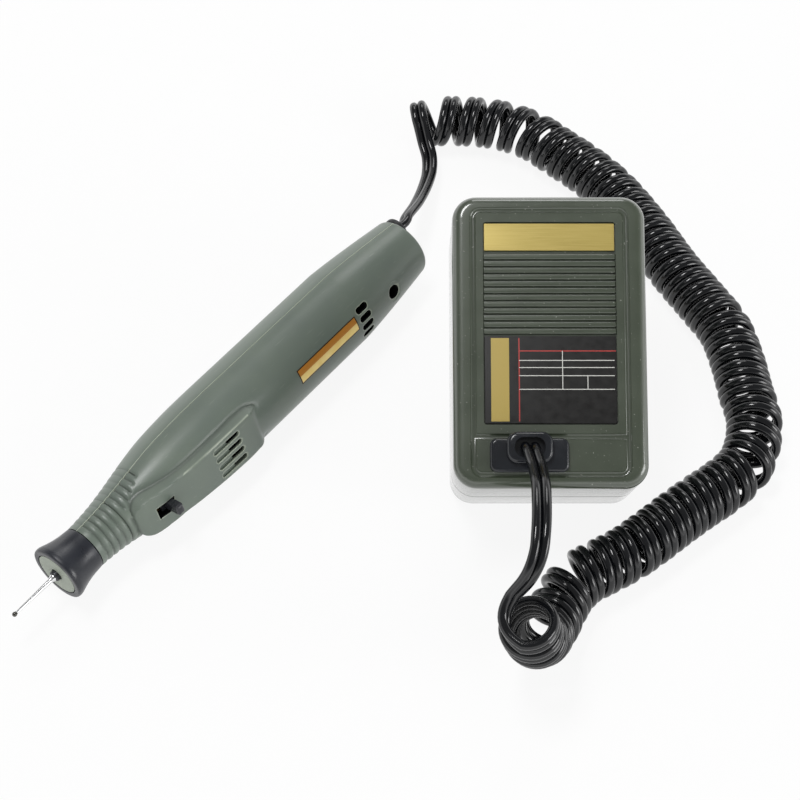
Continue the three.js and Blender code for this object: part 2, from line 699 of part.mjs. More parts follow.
// Three-pole rotor with a coil on each pole, and the commutator behind it
function armature() {
  const back = rotor.front + rotor.length;
  const shoeInner = rotor.shoeRadius - rotor.shoeThickness;
  let stack = ring(rotor.front, back, rotor.hubRadius, motorShaft.radius + gap, smallSides);
  for (let k = 0; k < rotorPole.count; k += 1) {
    const turn = (k * fullTurn) / rotorPole.count;
    const neck = box(rotor.front, back, -rotor.neck / 2, rotor.neck / 2,
      (rotor.hubRadius + motorShaft.radius) / 2 + gap / 2, shoeInner + rotor.shoeThickness / 2);
    stack = stack.add(neck.rotate([turn, 0, 0]));
    const spread = rotorPole.shoeSpread * 2;
    const shoe = sector(rotor.front, back, shoeInner, rotor.shoeRadius, spread, -turn, rotorPole.arcSteps);
    stack = stack.add(shoe);
    const inner = rotor.neck / 2 + gap;
    const outer = winding.halfWidth;
    const [low, high] = [rotor.hubRadius + gap, Math.sqrt((shoeInner - gap) ** 2 - outer ** 2)];
    const beyond = winding.endReach + gap;
    const loop = box(rotor.front - beyond, back + beyond, -outer, outer, low, high);
    const eye = box(rotor.front - gap, back + gap, -inner, inner, low - overrun, high + overrun);
    addPiece(pen, `rotor_winding_${k + 1}`, loop.subtract(eye).rotate([turn, 0, 0]), copper, 0.45, 1);
  }
  addPiece(pen, 'rotor_core', stack, ironGrey, 0.5, 1);
  const brushMiddle = motorBack - brush.length / 2;
  const ringFront = brushMiddle - commutator.length / 2;
  const barrel = ring(ringFront, ringFront + commutator.length, commutator.radius, motorShaft.radius + gap);
  addPiece(pen, 'commutator', barrel, copper, 0.35, 1);
}

// Slide switch: fixed body with its contact leaf, and the knob that shows in the window
function slideSwitch() {
  const { front, back, halfWidth, bottom, top } = switchBody;
  const leafFront = front + contact.inset;
  const leafBack = back - contact.inset;
  const pocket = box(leafFront, leafBack, -contact.halfWidth - gap, contact.halfWidth + gap,
    top - contact.depth, top + overrun);
  const body = box(front, back, -halfWidth, halfWidth, bottom, top).subtract(pocket);
  addPiece(pen, 'switch_body', body, 0x2a2a2c, 0.5, 0);
  const leafBottom = top - contact.depth + gap;
  const leaf = box(leafFront + gap, leafBack - gap, -contact.halfWidth, contact.halfWidth, leafBottom,
    leafBottom + contact.thickness);
  addPiece(pen, 'switch_contact', leaf, brass, 0.35, 1);
  const plateBottom = top + gap;
  const plate = box(sliderFront, sliderBack, -slider.halfWidth, slider.halfWidth, plateBottom,
    plateBottom + slider.thickness);
  const bevel = knob.tipBevel;
  const [x0, x1, half] = [knobFront, knobBack, knob.halfWidth];
  const loop = (inset, z) => [[x0 + inset, inset - half], [x1 - inset, inset - half],
    [x1 - inset, half - inset], [x0 + inset, half - inset]].map(([x, y]) => new THREE.Vector3(x, y, z));
  const stem = solid(lofted([loop(0, plateBottom), loop(0, knob.top - bevel), loop(bevel, knob.top)]));
  addPiece(pen, 'switch_knob', plate.add(stem), 0x26282c, 0.4, 0);
}

// Foil label in its shallow pocket, left bare
function sideLabel() {
  const back = labelFront + label.length;
  const foil = sector(labelFront, back, labelInner, labelOuter, label.spread, label.turn);
  addPiece(pen, 'pen_label', foil, 0xc8a24a, 0.35, 0.6);
}

function housingScrew() {
  const seat = screwHeadSeat + screw.wall + gap;
  const head = uprightRod(screwX, 0, seat, seat + screw.headHeight, screw.head, smallSides);
  const shank = uprightRod(screwX, 0, -screw.depth, seat + overrun / 2, screw.shank, smallSides);
  addPiece(pen, 'housing_screw', head.add(shank), 0x6d6f72, 0.4, 1);
}

// Rear grommet: a flange outside and one inside the rear wall, with a slot for the twin flex
function rearGrommet() {
  const { boreHalfWidth, boreHalfHeight } = grommet;
  const place = [0, grommet.y, grommet.z];
  const body = turned([
    [grommetFront, 0], [grommetFront, grommet.neckRadius], [housing.length + gap, grommet.neckRadius],
    [housing.length + gap, grommet.flangeRadius], [grommetBack, grommet.flangeRadius], [grommetBack, 0],
  ]).translate(place);
  const insideRadius = outsideRadius(cavityEnd) - housing.wall - gap * 2;
  const room = rod(grommetFront - overrun, cavityEnd, insideRadius, housingSides);
  const innerDisc = rod(grommetFront, cavityEnd - gap, grommet.flangeRadius).translate(place);
  const corner = boreHalfHeight * roundShare;
  const loop = roundedLoop(-boreHalfWidth, boreHalfWidth, -boreHalfHeight, boreHalfHeight, corner, 0);
  const shape = new THREE.Shape(loop.map((p) => new THREE.Vector2(p.x, p.y)));
  const bore = alongX(shape, grommetFront - overrun, grommetBack + overrun);
  const slot = bore.rotate([grommet.slotTurn, 0, 0]).translate(place);
  const bush = body.add(innerDisc.intersect(room)).subtract(slot);
  addPiece(pen, 'rear_grommet', bush, blackPlastic, 0.55, 0);
}

// Insulated wires inside the pen: flex to motor, flex to switch, switch to motor
function wire(name, points, colour) {
  const curve = new THREE.CatmullRomCurve3(points.map((p) => new THREE.Vector3(...p)));
  const outline = [];
  for (let k = 0; k < wireSides; k += 1) {
    const angle = (k / wireSides) * Math.PI * 2;
    outline.push(new THREE.Vector2(wireRadius * Math.cos(angle), wireRadius * Math.sin(angle)));
  }
  const path = { steps: points.length * 3, bevelEnabled: false, extrudePath: curve };
  return [name, solid(new THREE.ExtrudeGeometry(new THREE.Shape(outline), path)), colour];
}

function penWires() {
  const side = wireSide;
  const bundle = grommet.neckRadius / 2;
  const capRear = motorBack + gap + motor.capThickness + gap;
  const clearOfPillar = screw.recess + screw.wall + wireRadius + gap;
  const behindPillar = screwX + clearOfPillar;
  const beforePillar = screwX - clearOfPillar * 2;
  const start = grommetFront - gap - wireRadius;
  const exitY = grommet.y - wireRadius;
  const coverBack = capRear + capacitor.thickness + gap + wireRadius;
  const terminal = capacitor.radius + gap + wireRadius * 2;
  const toMotor = [
    [start, exitY - bundle, grommet.z], [behindPillar, -clearOfPillar, 0], [screwX, -clearOfPillar, 0],
    [beforePillar, -bundle * 2, 0], [coverBack + bundle, -terminal, 0],
    [capRear + wireRadius, -terminal, 0],
  ];
  const toSwitch = [
    [start, exitY, grommet.z], [behindPillar, clearOfPillar, grommet.z / 2], [screwX, clearOfPillar, 0],
    [beforePillar, bundle * 3, 0], [motorBack + motor.capThickness + bundle, side, 0],
    [(motor.front + motorBack) / 2, side, 0], [motor.front - bundle / 2, side, 0],
    [motor.front - bundle * 2, side - gap, 0],
    [coupling.front + coupling.length, switchBody.halfWidth * 2, bundle],
    [switchBody.back + gap + wireRadius, switchBody.halfWidth / 2, switchBody.bottom + wireRadius],
  ];
  const toMotorFront = [
    [switchBody.back + gap + wireRadius, -switchBody.halfWidth / 2, switchBody.bottom + wireRadius],
    [coupling.front + coupling.length, -switchBody.halfWidth * 2, bundle],
    [motor.front - bundle * 2, gap - side, 0], [motor.front - bundle / 2, -side, 0],
    [(motor.front + motorBack) / 2, -side, 0], [motorBack, -side, 0],
    [capRear + bundle / 2, -side, 0], [capRear + bundle * 2, -side + bundle, 0],
  ];
  return [
    wire('supply_to_motor_wire', toMotor, 0x2b2b2b),
    wire('supply_to_switch_wire', toSwitch, 0xa62a22),
    wire('switch_to_motor_wire', toMotorFront, 0xa62a22),
  ];
}

// Supply outline at height z, drawn in by the inset
function unitLoop(inset, z) {
  const half = unit.width / 2 - inset;
  return roundedLoop(-half, half, inset, unit.height - inset, unit.cornerRadius - inset * roundShare, z);
}

function faceEdgeLoops(inset, top) {
  const edge = unit.faceEdge;
  return faceEdgeTurns.map((turn) => {
    const angle = degrees(turn);
    return unitLoop(inset + edge * (1 - Math.cos(angle)) * roundShare, top - edge * (1 - Math.sin(angle)));
  });
}

const recessTop = unit.height - recess.topMargin;
const namePlateTop = recessTop - plate.margin;
const namePlateBottom = namePlateTop - namePlate.height;
const ratingPlateBottom = recess.bottom + plate.margin;
const ratingPlateTop = ratingPlateBottom + ratingPlate.height;
const ribStart = ratingPlateTop + faceRib.startMargin;
const ribPitch = (namePlateBottom - faceRib.endMargin - ribStart) / faceRib.count;

function frameGrooveCut() {
  const { halfWidth, bottom, width, corner } = frameGroove;
  const top = unit.height - frameGroove.topMargin;
  const floor = unit.depth - frameGroove.depth;
  const [out, into] = [halfWidth + width / 2, halfWidth - width / 2];
  const above = unit.depth + overrun;
  const [below, inside] = [floor - overrun, width / 2];
  const outer = roundedSlab(-out, out, bottom - inside, top + inside, corner, floor, above);
  const inner = roundedSlab(-into, into, bottom + inside, top - inside, corner, below, above + overrun);
  return outer.subtract(inner);
}

// Ribbed field on the face: one row of tapered bars across the recess
function faceRibs() {
  const floor = unit.depth - recess.depth;
  const points = [[ribStart, floor - unit.wall / 2]];
  for (let k = 0; k < faceRib.count; k += 1) {
    const y = ribStart + k * ribPitch;
    points.push([y, floor], [y + ribPitch * (faceRib.baseShare - faceRib.topShare) / 2, unit.depth]);
    points.push([y + ribPitch * (faceRib.baseShare + faceRib.topShare) / 2, unit.depth]);
    points.push([y + ribPitch * faceRib.baseShare, floor]);
  }
  points.push([points.at(-1)[0], floor - unit.wall / 2]);
  const shape = new THREE.Shape(points.map(([y, z]) => new THREE.Vector2(y, z)));
  return alongX(shape, -recess.halfWidth - overrun / 2, recess.halfWidth + overrun / 2);
}

const blockMiddle = (block.stubBottom + block.stubTop) / 2;

function blockNeckHole() {
  const halfWidth = block.neckHalfWidth + gap;
  const halfHeight = block.neckHalfHeight + gap;
  const floor = unit.depth - unit.wall - recess.depth - overrun * 2;
  return box(block.x - halfWidth, block.x + halfWidth, blockMiddle - halfHeight, blockMiddle + halfHeight,
    floor, unit.depth + overrun);
}

const cavityTop = unit.depth - recess.depth - unit.wall;
const coreFront = core.z + core.halfDepth;
const coreRear = core.z - core.halfDepth;
const corePosts = [[-1, -1], [1, -1], [-1, 1], [1, 1]].map(([a, b]) => (
  [a * (core.halfWidth - post.inset), core.y + b * (core.halfHeight - post.inset)]));
const screwPlaces = [
  [unitScrew.lowX, unitScrew.lowY], [unitScrew.highX, unit.height - unitScrew.topMargin]];

function frontCover() {
  const outside = solid(lofted([unitLoop(0, unit.seam + gap / 2), ...faceEdgeLoops(0, unit.depth)]));
  const bevel = unit.faceEdge / 2;
  const inside = solid(lofted([
    unitLoop(unit.wall, unit.seam - overrun), unitLoop(unit.wall, cavityTop - bevel),
    unitLoop(unit.wall + bevel, cavityTop)]));
  const { halfWidth, bottom, corner } = recess;
  const floor = unit.depth - recess.depth;
  const field = roundedSlab(-halfWidth, halfWidth, bottom, recessTop, corner, floor, unit.depth + overrun);
  let cover = outside.subtract(inside).subtract(frameGrooveCut()).subtract(field);
  cover = cover.add(faceRibs().intersect(outside));
  const bar = frameGroove.width / 2;
  const barCut = box(-frameGroove.halfWidth, frameGroove.halfWidth, barGroove.y - bar, barGroove.y + bar,
    unit.depth - frameGroove.depth, unit.depth + overrun);
  cover = cover.subtract(barCut).subtract(blockNeckHole());
  for (const [x, y] of corePosts) {
    cover = cover.add(uprightRod(x, y, coreFront + gap, cavityTop + overrun / 2, post.radius, smallSides));
  }
  const pillarRadius = unitScrew.shank + gap + unitScrew.wall;
  const holeRadius = unitScrew.shank + gap;
  const holeTop = unitScrew.depth + gap * 2;
  for (const [x, y] of screwPlaces) {
    const pillarTop = cavityTop + overrun / 2;
    cover = cover.add(uprightRod(x, y, unitScrew.pad + gap, pillarTop, pillarRadius, smallSides));
    cover = cover.subtract(uprightRod(x, y, unitScrew.pad - overrun, holeTop, holeRadius, smallSides));
  }
  addPiece(supply, 'supply_front_cover', cover, supplyOlive, 0.55, 0);
}

function rearShell() {
  const edge = unit.backEdge;
  const outside = solid(lofted([unitLoop(edge, 0), unitLoop(0, edge), unitLoop(0, unit.seam - gap / 2)]));
  const inside = solid(lofted([unitLoop(unit.wall, unit.wall), unitLoop(unit.wall, unit.seam + overrun)]));
  const { y, halfWidth, halfHeight, height, corner } = plugBoss;
  const root = unit.wall / 2;
  const boss = roundedSlab(-halfWidth, halfWidth, y - halfHeight, y + halfHeight, corner, -height, root);
  let shell = outside.subtract(inside).add(boss);
  for (const side of [-1, 1]) {
    const x = side * pin.halfSpacing;
    shell = shell.subtract(uprightRod(x, y, -height - overrun, unit.wall + overrun, pin.radius + gap));
    const postTop = board.z - gap;
    shell = shell.add(uprightRod(side * post.boardX, post.boardY, root, postTop, post.radius, smallSides));
  }
  for (const [x, py] of corePosts) {
    shell = shell.add(uprightRod(x, py, root, coreRear - gap, post.radius, smallSides));
  }
  const headRoom = unitScrew.head + gap;
  const seat = unitScrew.headHeight + gap * 2;
  for (const [x, py] of screwPlaces) {
    const holeTop = unitScrew.pad + overrun;
    shell = shell.add(uprightRod(x, py, 0, unitScrew.pad, headRoom + unitScrew.wall, smallSides));
    shell = shell.subtract(uprightRod(x, py, -overrun, seat, headRoom, smallSides));
    shell = shell.subtract(uprightRod(x, py, -overrun, holeTop, unitScrew.shank + gap, smallSides));
  }
  addPiece(supply, 'supply_rear_shell', shell, supplyOlive, 0.55, 0);
  screwPlaces.forEach(([x, py], k) => {
    const headMiddle = gap + unitScrew.headHeight / 2;
    const head = uprightRod(x, py, gap, gap + unitScrew.headHeight, unitScrew.head, smallSides);
    const shank = uprightRod(x, py, headMiddle, unitScrew.depth, unitScrew.shank, smallSides);
    const name = ['supply_screw_lower', 'supply_screw_upper'][k];
    addPiece(supply, name, head.add(shank), 0x6d6f72, 0.4, 1);
  });
}

// Two bare plates that lie in the recess of the face
function facePlates() {
  const floor = unit.depth - recess.depth + gap;
  const half = recess.halfWidth - gap;
  const plates = [
    ['supply_name_plate', namePlateBottom, namePlateTop, 0xb99b52, 0.6],
    ['rating_plate', ratingPlateBottom, ratingPlateTop, 0x26281f, 0.2],
  ];
  for (const [name, bottom, top, colour, metalness] of plates) {
    const sheet = roundedSlab(-half, half, bottom, top, recess.corner, floor, floor + plate.thickness);
    addPiece(supply, name, sheet, colour, 0.4, metalness);
  }
}

// Cord block: a flange on the face, a stub with the mouth, and a neck through the cover
const mouthFloor = unit.depth + block.stubHeight - block.mouthDepth;

function cordBlock() {
  const { halfWidth, stubHalfWidth, mouthHalfWidth, mouthHalfHeight } = block;
  const across = (half) => [block.x - half, block.x + half];
  const upAndDown = (half) => [blockMiddle - half, blockMiddle + half];
  const seat = unit.depth + gap;
  const stubTop = unit.depth + block.stubHeight;
  const flange = roundedSlab(...across(halfWidth), block.bottom, block.top, block.thickness / 2,
    seat, unit.depth + block.thickness);
  const stub = roundedSlab(...across(stubHalfWidth), block.stubBottom, block.stubTop, block.thickness,
    seat, stubTop);
  const mouth = roundedSlab(...across(mouthHalfWidth), ...upAndDown(mouthHalfHeight),
    mouthHalfHeight * roundShare, mouthFloor, stubTop + overrun);
  const neck = box(...across(block.neckHalfWidth), ...upAndDown(block.neckHalfHeight),
    unit.depth - block.neckDepth, unit.depth + block.thickness / 2);
  addPiece(supply, 'cord_block', flange.add(stub).subtract(mouth).add(neck), blackPlastic, 0.5, 0);
}

// Round mains pins, bevelled at the tip
function mainsPins() {
  const tip = -plugBoss.height - pin.length;
  for (const [name, side] of [['mains_pin_left', -1], ['mains_pin_right', 1]]) {
    const body = turned([
      [tip, 0], [tip, pin.radius - pin.tipBevel], [tip + pin.tipBevel, pin.radius],
      [pin.inside, pin.radius], [pin.inside, 0],
    ]);
    const upright = body.rotate([0, -quarterTurn, 0]).translate([side * pin.halfSpacing, plugBoss.y, 0]);
    addPiece(supply, name, upright, 0xc9b26b, 0.3, 1);
  }
}

// Laminated core with one coil former, two coils and the thermal fuse on the outer one
function transformer() {
  const [low, high] = [core.y - core.halfHeight, core.y + core.halfHeight];
  const reach = core.halfHeight - core.side;
  const [near, far] = [core.leg, core.halfWidth - core.side];
  let stack = box(-core.halfWidth, core.halfWidth, low, high, coreRear, coreFront);
  for (const side of [-1, 1]) {
    const [x0, x1] = [side * near, side * far].sort((a, b) => a - b);
    const eye = box(x0, x1, core.y - reach, core.y + reach, coreRear - overrun, coreFront + overrun);
    stack = stack.subtract(eye);
  }
  addPiece(supply, 'transformer_core', stack, ironGrey, 0.6, 0.9);
  const aroundLeg = (half, y0, y1, depth) => (
    box(-half, half, core.y + y0, core.y + y1, core.z - depth, core.z + depth));
  const end = reach - gap;
  const bore = aroundLeg(core.leg + gap, -end - overrun, end + overrun, core.halfDepth + gap);
  const tubeHalf = core.leg + gap + bobbin.wall;
  const tubeDepth = core.halfDepth + gap + bobbin.wall;
  const flangeHalf = far - gap;
  const flangeDepth = core.halfDepth + (flangeHalf - core.leg);
  let former = aroundLeg(tubeHalf, -end, end, tubeDepth);
  const flange = bobbin.flange / 2;
  for (const y of [-end + flange, 0, end - flange]) {
    former = former.add(aroundLeg(flangeHalf, y - flange, y + flange, flangeDepth));
  }
  addPiece(supply, 'coil_former', former.subtract(bore), 0xd9d5c4, 0.6, 0);
  const coilHole = aroundLeg(tubeHalf + gap, -end - overrun, end + overrun, tubeDepth + gap);
  const [from, to] = [flange + gap, end - flange * 2 - gap];
  const coils = [['primary_winding', -to, -from], ['secondary_winding', from, to]];
  for (const [name, y0, y1] of coils) {
    addPiece(supply, name, aroundLeg(flangeHalf, y0, y1, flangeDepth).subtract(coilHole), copper, 0.5, 0.8);
  }
  const fuseZ = core.z + flangeDepth + gap + fuse.radius;
  const body = rod(-fuse.length / 2, fuse.length / 2, fuse.radius, smallSides);
  const onCoil = body.translate([0, core.y - (from + to) / 2, fuseZ]);
  addPiece(supply, 'thermal_fuse', onCoil, 0xd8d8d8, 0.4, 0.6);
}

// Rectifier board with its bridge and its capacitor, and the tail that feeds the cord block
function rectifier() {
  const top = board.z + board.thickness;
  const laminate = box(-board.halfWidth, board.halfWidth, board.bottom, board.top, board.z, top);
  addPiece(supply, 'rectifier_board', laminate, 0x7a6a35, 0.6, 0);
  const { x, y, half, height } = bridge;
  const seat = top + gap;
  const chip = box(x - half, x + half, y - half, y + half, seat, seat + height);
  addPiece(supply, 'bridge_rectifier', chip, 0x1c1c1e, 0.5, 0);
  const can = uprightRod(reservoir.x, reservoir.y, seat, seat + reservoir.height, reservoir.radius);
  addPiece(supply, 'smoothing_capacitor', can, 0x2a3a5c, 0.4, 0);
  const tailTop = unit.depth - block.neckDepth - gap;
  const boardMiddle = (board.bottom + board.top) / 2;
  const route = [
    [block.x, boardMiddle, seat], [block.x, boardMiddle, (top + tailTop) / 2],
    [block.x, blockMiddle, (top + tailTop * 2) / 3], [block.x, blockMiddle, tailTop],
  ];
  return [wire('output_tail', route, 0x222222)];
}

// Section of the twin flex: a loop of points, wide along one direction and thin along the other.
// A loop with an odd count of points is turned by a quarter of its spacing, to keep it even.
function flexLoop(centre, wide, thin, sides) {
  const loop = [];
  for (let k = 0; k < sides; k += 1) {
    const angle = ((k + (sides % 2) / 4) / sides) * Math.PI * 2;
    const point = centre.clone().addScaledVector(wide, (Math.cos(angle) * flex.width) / 2);
    loop.push(point.addScaledVector(thin, (Math.sin(angle) * flex.thickness) / 2));
  }
  return loop;
}

// Frames carried along a curve without twist: place, forward direction and one across
function framesAlong(curve, count, firstAcross) {
  const frames = [];
  let across = firstAcross.clone();
  for (let k = 0; k <= count; k += 1) {
    const forward = curve.getTangentAt(k / count);
    across = across.clone().addScaledVector(forward, -across.dot(forward)).normalize();
    frames.push({ place: curve.getPointAt(k / count), forward, across });
  }
  return frames;
}

function crowdAt(share) {
  const next = Math.max(crowdShares.findIndex(([along]) => along >= share), 1);
  const [[from, low], [to, high]] = [crowdShares[next - 1], crowdShares[next]];
  return low + ((high - low) * (share - from)) / (to - from);
}

// Spiral: its curls keep their inner pitch, so they open up on the outside of each bend
function spiralTube() {
  const curve = new THREE.CatmullRomCurve3(spiralRoute.map((p) => new THREE.Vector3(...p)));
  curve.arcLengthDivisions = spiralRoute.length * curveDivisions;
  const count = spiralRoute.length * spiral.stepsPerRoutePoint;
  const frames = framesAlong(curve, count, new THREE.Vector3(0, 0, 1));
  const step = curve.getLength() / count;
  const turnedBy = [0];
  for (let k = 1; k <= count; k += 1) {
    const [before, after] = [Math.max(k - spiral.bendSteps, 0), Math.min(k + spiral.bendSteps, count)];
    const bend = frames[before].forward.angleTo(frames[after].forward) / ((after - before) * step);
    turnedBy.push(turnedBy[k - 1] + crowdAt(k / count) * (1 - spiral.radius * bend));
  }
  const rings = [];
  const places = [];
  const steps = Math.round(spiral.curls * spiral.stepsPerCurl);
  const stepTurn = (spiral.curls * Math.PI * 2) / steps;
  for (let n = 0; n <= steps; n += 1) {
    const wanted = (turnedBy[count] * n) / steps;
    const k = n === steps ? count : Math.max(turnedBy.findIndex((value) => value > wanted), 1);
    const share = (wanted - turnedBy[k - 1]) / (turnedBy[k] - turnedBy[k - 1]);
    const forward = frames[k - 1].forward.clone().lerp(frames[k].forward, share).normalize();
    const across = frames[k - 1].across.clone().lerp(frames[k].across, share).normalize();
    const angle = n * stepTurn + degrees(spiral.startTurn);
    const aside = across.clone().cross(forward);
    const out = across.clone().multiplyScalar(Math.cos(angle)).addScaledVector(aside, Math.sin(angle));
    const round = aside.multiplyScalar(Math.cos(angle)).addScaledVector(across, -Math.sin(angle));
    const advance = (turnedBy[k] > turnedBy[k - 1] ? step / (turnedBy[k] - turnedBy[k - 1]) : step)
      * (turnedBy[count] / steps);
    const ahead = round.multiplyScalar(spiral.radius * stepTurn).addScaledVector(forward, advance);
    ahead.normalize();
    const wide = forward.clone().addScaledVector(ahead, -forward.dot(ahead)).normalize();
    const centre = frames[k - 1].place.clone().lerp(frames[k].place, share);
    const place = centre.addScaledVector(out, spiral.radius);
    places.push({ place, out, ahead, wide });
    rings.push(flexLoop(place, wide, out, spiral.sides));
  }
  const beyond = (end, length) => ({ ...end, place: end.place.clone().addScaledVector(end.ahead, length) });
  const ends = [beyond(places[0], -flex.thickness), beyond(places[steps], flex.thickness)];
  rings.unshift(flexLoop(ends[0].place, ends[0].wide, ends[0].out, spiral.sides));
  rings.push(flexLoop(ends[1].place, ends[1].wide, ends[1].out, spiral.sides));
  const innerPitch = (turnedBy[count] * step) / spiral.curls;
  return { body: solid(lofted(rings)), rings, ends, innerPitch };
}

// Least distance between points of the tube that lie at least half a curl apart along it
function leastGap(rings) {
  const samples = rings.map((loop) => loop.flatMap((point, k) => {
    const next = loop[(k + 1) % loop.length];
    return gapSampleShares.map((share) => point.clone().lerp(next, share));
  }));
  let least = Infinity;
  for (let i = 0; i < samples.length; i += 1) {
    const last = Math.min(i + spiral.stepsPerCurl * 2, samples.length);
    for (let j = i + spiral.stepsPerCurl / 2; j < last; j += 1) {
      for (const a of samples[i]) {
        for (const b of samples[j]) least = Math.min(least, a.distanceTo(b));
      }
    }
  }
  return least;
}

// Free stretch of the flex: leaves one end straight, follows its route and meets the other end square.
// Its twist comes early for a power below one and late for a power above one.
function leadTube(start, route, end, twistPower) {
  const points = [
    start.place, start.place.clone().addScaledVector(start.ahead, flex.thickness),
    ...route.map((p) => new THREE.Vector3(...p)), end.place,
  ];
  const curve = new THREE.CatmullRomCurve3(points);
  curve.arcLengthDivisions = points.length * curveDivisions;
  const steps = Math.ceil(curve.getLength() / lead.step);
  const rings = [];
  for (let k = 0; k <= steps; k += 1) {
    const share = k / steps;
    let ahead = curve.getTangentAt(share);
    if (k === 0) ahead = start.ahead;
    if (k === steps) ahead = end.ahead;
    const wide = start.wide.clone().lerp(end.wide, share ** twistPower);
    wide.addScaledVector(ahead, -wide.dot(ahead)).normalize();
    rings.push(flexLoop(curve.getPointAt(share), wide, ahead.clone().cross(wide), lead.sides));
  }
  return solid(lofted(rings));
}

function cords() {
  const { body, rings, ends, innerPitch } = spiralTube();
  addPiece(bench, 'curly_cord', body, blackPlastic, 0.35, 0);
  const [pitch, least] = [innerPitch.toFixed(2), leastGap(rings).toFixed(2)];
  console.log(`curly cord: inner pitch ${pitch} mm, least gap to itself ${least} mm`);
  const slotTurn = degrees(grommet.slotTurn);
  const penEnd = {
    place: pen.localToWorld(new THREE.Vector3(grommetBack + gap, grommet.y, grommet.z)),
    ahead: new THREE.Vector3(1, 0, 0),
    wide: new THREE.Vector3(0, Math.cos(slotTurn), Math.sin(slotTurn)).transformDirection(pen.matrixWorld),
  };
  const spiralStart = { ...ends[0], place: ends[0].place.clone().addScaledVector(ends[0].ahead, -gap) };
  const penLead = leadTube(penEnd, penLeadRoute, spiralStart, lead.penTwistPower);
  addPiece(bench, 'pen_lead', penLead, blackPlastic, 0.35, 0);
  const mouth = new THREE.Vector3(block.x, blockMiddle, mouthFloor + gap);
  const supplyEnd = {
    place: supply.localToWorld(mouth.clone()),
    ahead: new THREE.Vector3(0, 0, 1).transformDirection(supply.matrixWorld),
    wide: new THREE.Vector3(-1, 0, 0).transformDirection(supply.matrixWorld),
  };
  const spiralEnd = {
    place: ends[1].place.clone().addScaledVector(ends[1].ahead, gap),
    ahead: ends[1].ahead.clone().negate(),
    wide: ends[1].wide,
  };
  const supplyLead = leadTube(supplyEnd, supplyLeadRoute, spiralEnd, lead.supplyTwistPower);
  addPiece(bench, 'supply_lead', supplyLead, blackPlastic, 0.35, 0);
}

// Stand a group on the bench by its lowest point
function setDown(group) {
  group.updateMatrixWorld(true);
  group.position.z -= new THREE.Box3().setFromObject(group, true).min.z;
  group.updateMatrixWorld(true);
}

shells();
nose();
ballBearing('front', spigotFront);
ballBearing('rear', bearing.rearStart);
spindleSet();
drive();
motorBody();
armature();
slideSwitch();
sideLabel();
housingScrew();
rearGrommet();
for (const [name, body, colour] of penWires()) addPiece(pen, name, body, colour, 0.5, 0);
pen.rotation.x = degrees(housing.switchSideTurn);
setDown(pen);

frontCover();
rearShell();
facePlates();
cordBlock();
mainsPins();
transformer();
for (const [name, body, colour] of rectifier()) addPiece(supply, name, body, colour, 0.5, 0);
supply.rotation.set(degrees(unit.lean), 0, degrees(unit.turn), 'ZXY');
supply.position.set(unit.x, unit.y, 0);
setDown(supply);

// The origin is the middle of the underside of pen and supply, so the cords are laid after it is found
const extent = new THREE.Box3().setFromObject(bench, true);
cords();
bench.position.set(-(extent.min.x + extent.max.x) / 2, -(extent.min.y + extent.max.y) / 2, -extent.min.z);

export default bench;
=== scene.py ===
import json
import math

import bmesh
import bpy
import numpy as np
from mathutils import Matrix, Vector


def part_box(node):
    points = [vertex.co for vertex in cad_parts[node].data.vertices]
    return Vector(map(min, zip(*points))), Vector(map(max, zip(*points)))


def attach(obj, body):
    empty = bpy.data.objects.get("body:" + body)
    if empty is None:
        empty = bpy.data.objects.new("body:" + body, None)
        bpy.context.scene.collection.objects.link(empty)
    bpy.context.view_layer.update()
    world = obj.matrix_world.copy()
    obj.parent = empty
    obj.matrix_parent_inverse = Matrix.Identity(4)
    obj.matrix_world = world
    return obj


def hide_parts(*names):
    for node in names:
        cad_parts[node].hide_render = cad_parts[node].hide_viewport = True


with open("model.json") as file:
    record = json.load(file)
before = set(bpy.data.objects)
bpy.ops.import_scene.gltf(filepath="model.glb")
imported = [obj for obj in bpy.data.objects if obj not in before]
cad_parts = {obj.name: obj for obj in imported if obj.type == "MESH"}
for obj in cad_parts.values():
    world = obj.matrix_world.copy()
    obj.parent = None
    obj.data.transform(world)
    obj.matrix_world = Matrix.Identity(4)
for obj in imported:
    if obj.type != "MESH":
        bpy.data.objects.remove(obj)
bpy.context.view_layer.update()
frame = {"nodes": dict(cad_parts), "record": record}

mm = 0.001

# Shared mesh work
# Points are in millimetres of the piece's own frame until the piece is fixed in its place. At the
# middle of a turned piece a tiny radius stays open, and points closer than the weld are one.
axis_gap, weld_distance = 0.01, 0.0005
round_steps, edge_steps, least_corner = 8, 5, 0.05


def unit(vectors):
    """The vectors, each with a length of one."""
    return vectors / np.linalg.norm(vectors, axis=-1, keepdims=True)


def new_object(name, data):
    """A new object in the scene, from its mesh, camera or lamp."""
    thing = bpy.data.objects.new(name, data)
    bpy.context.scene.collection.objects.link(thing)
    return thing


def place_mesh(name, points, faces, frame_matrix):
    """A new object from points in millimetres of its own frame."""
    mesh = bpy.data.meshes.new(name)
    mesh.from_pydata([tuple(p) for p in points], [], faces)
    mesh.transform(frame_matrix)
    return new_object(name, mesh)


def tube_faces(rings, points_per_ring):
    """Side faces between rings of points, then a cap at each end."""
    faces = []
    for ring in range(rings - 1):
        for k in range(points_per_ring):
            a = ring * points_per_ring + k
            b = ring * points_per_ring + (k + 1) % points_per_ring
            faces.append((a, b, b + points_per_ring, a + points_per_ring))
    faces.append(tuple(reversed(range(points_per_ring))))
    faces.append(tuple((rings - 1) * points_per_ring + k for k in range(points_per_ring)))
    return faces


def closed_tube_faces(rings, points_per_ring):
    """Side faces between rings of points, the last of which joins the first."""
    total = rings * points_per_ring
    faces = tube_faces(rings + 1, points_per_ring)[:-2]
    return [tuple(k % total for k in face) for face in faces]


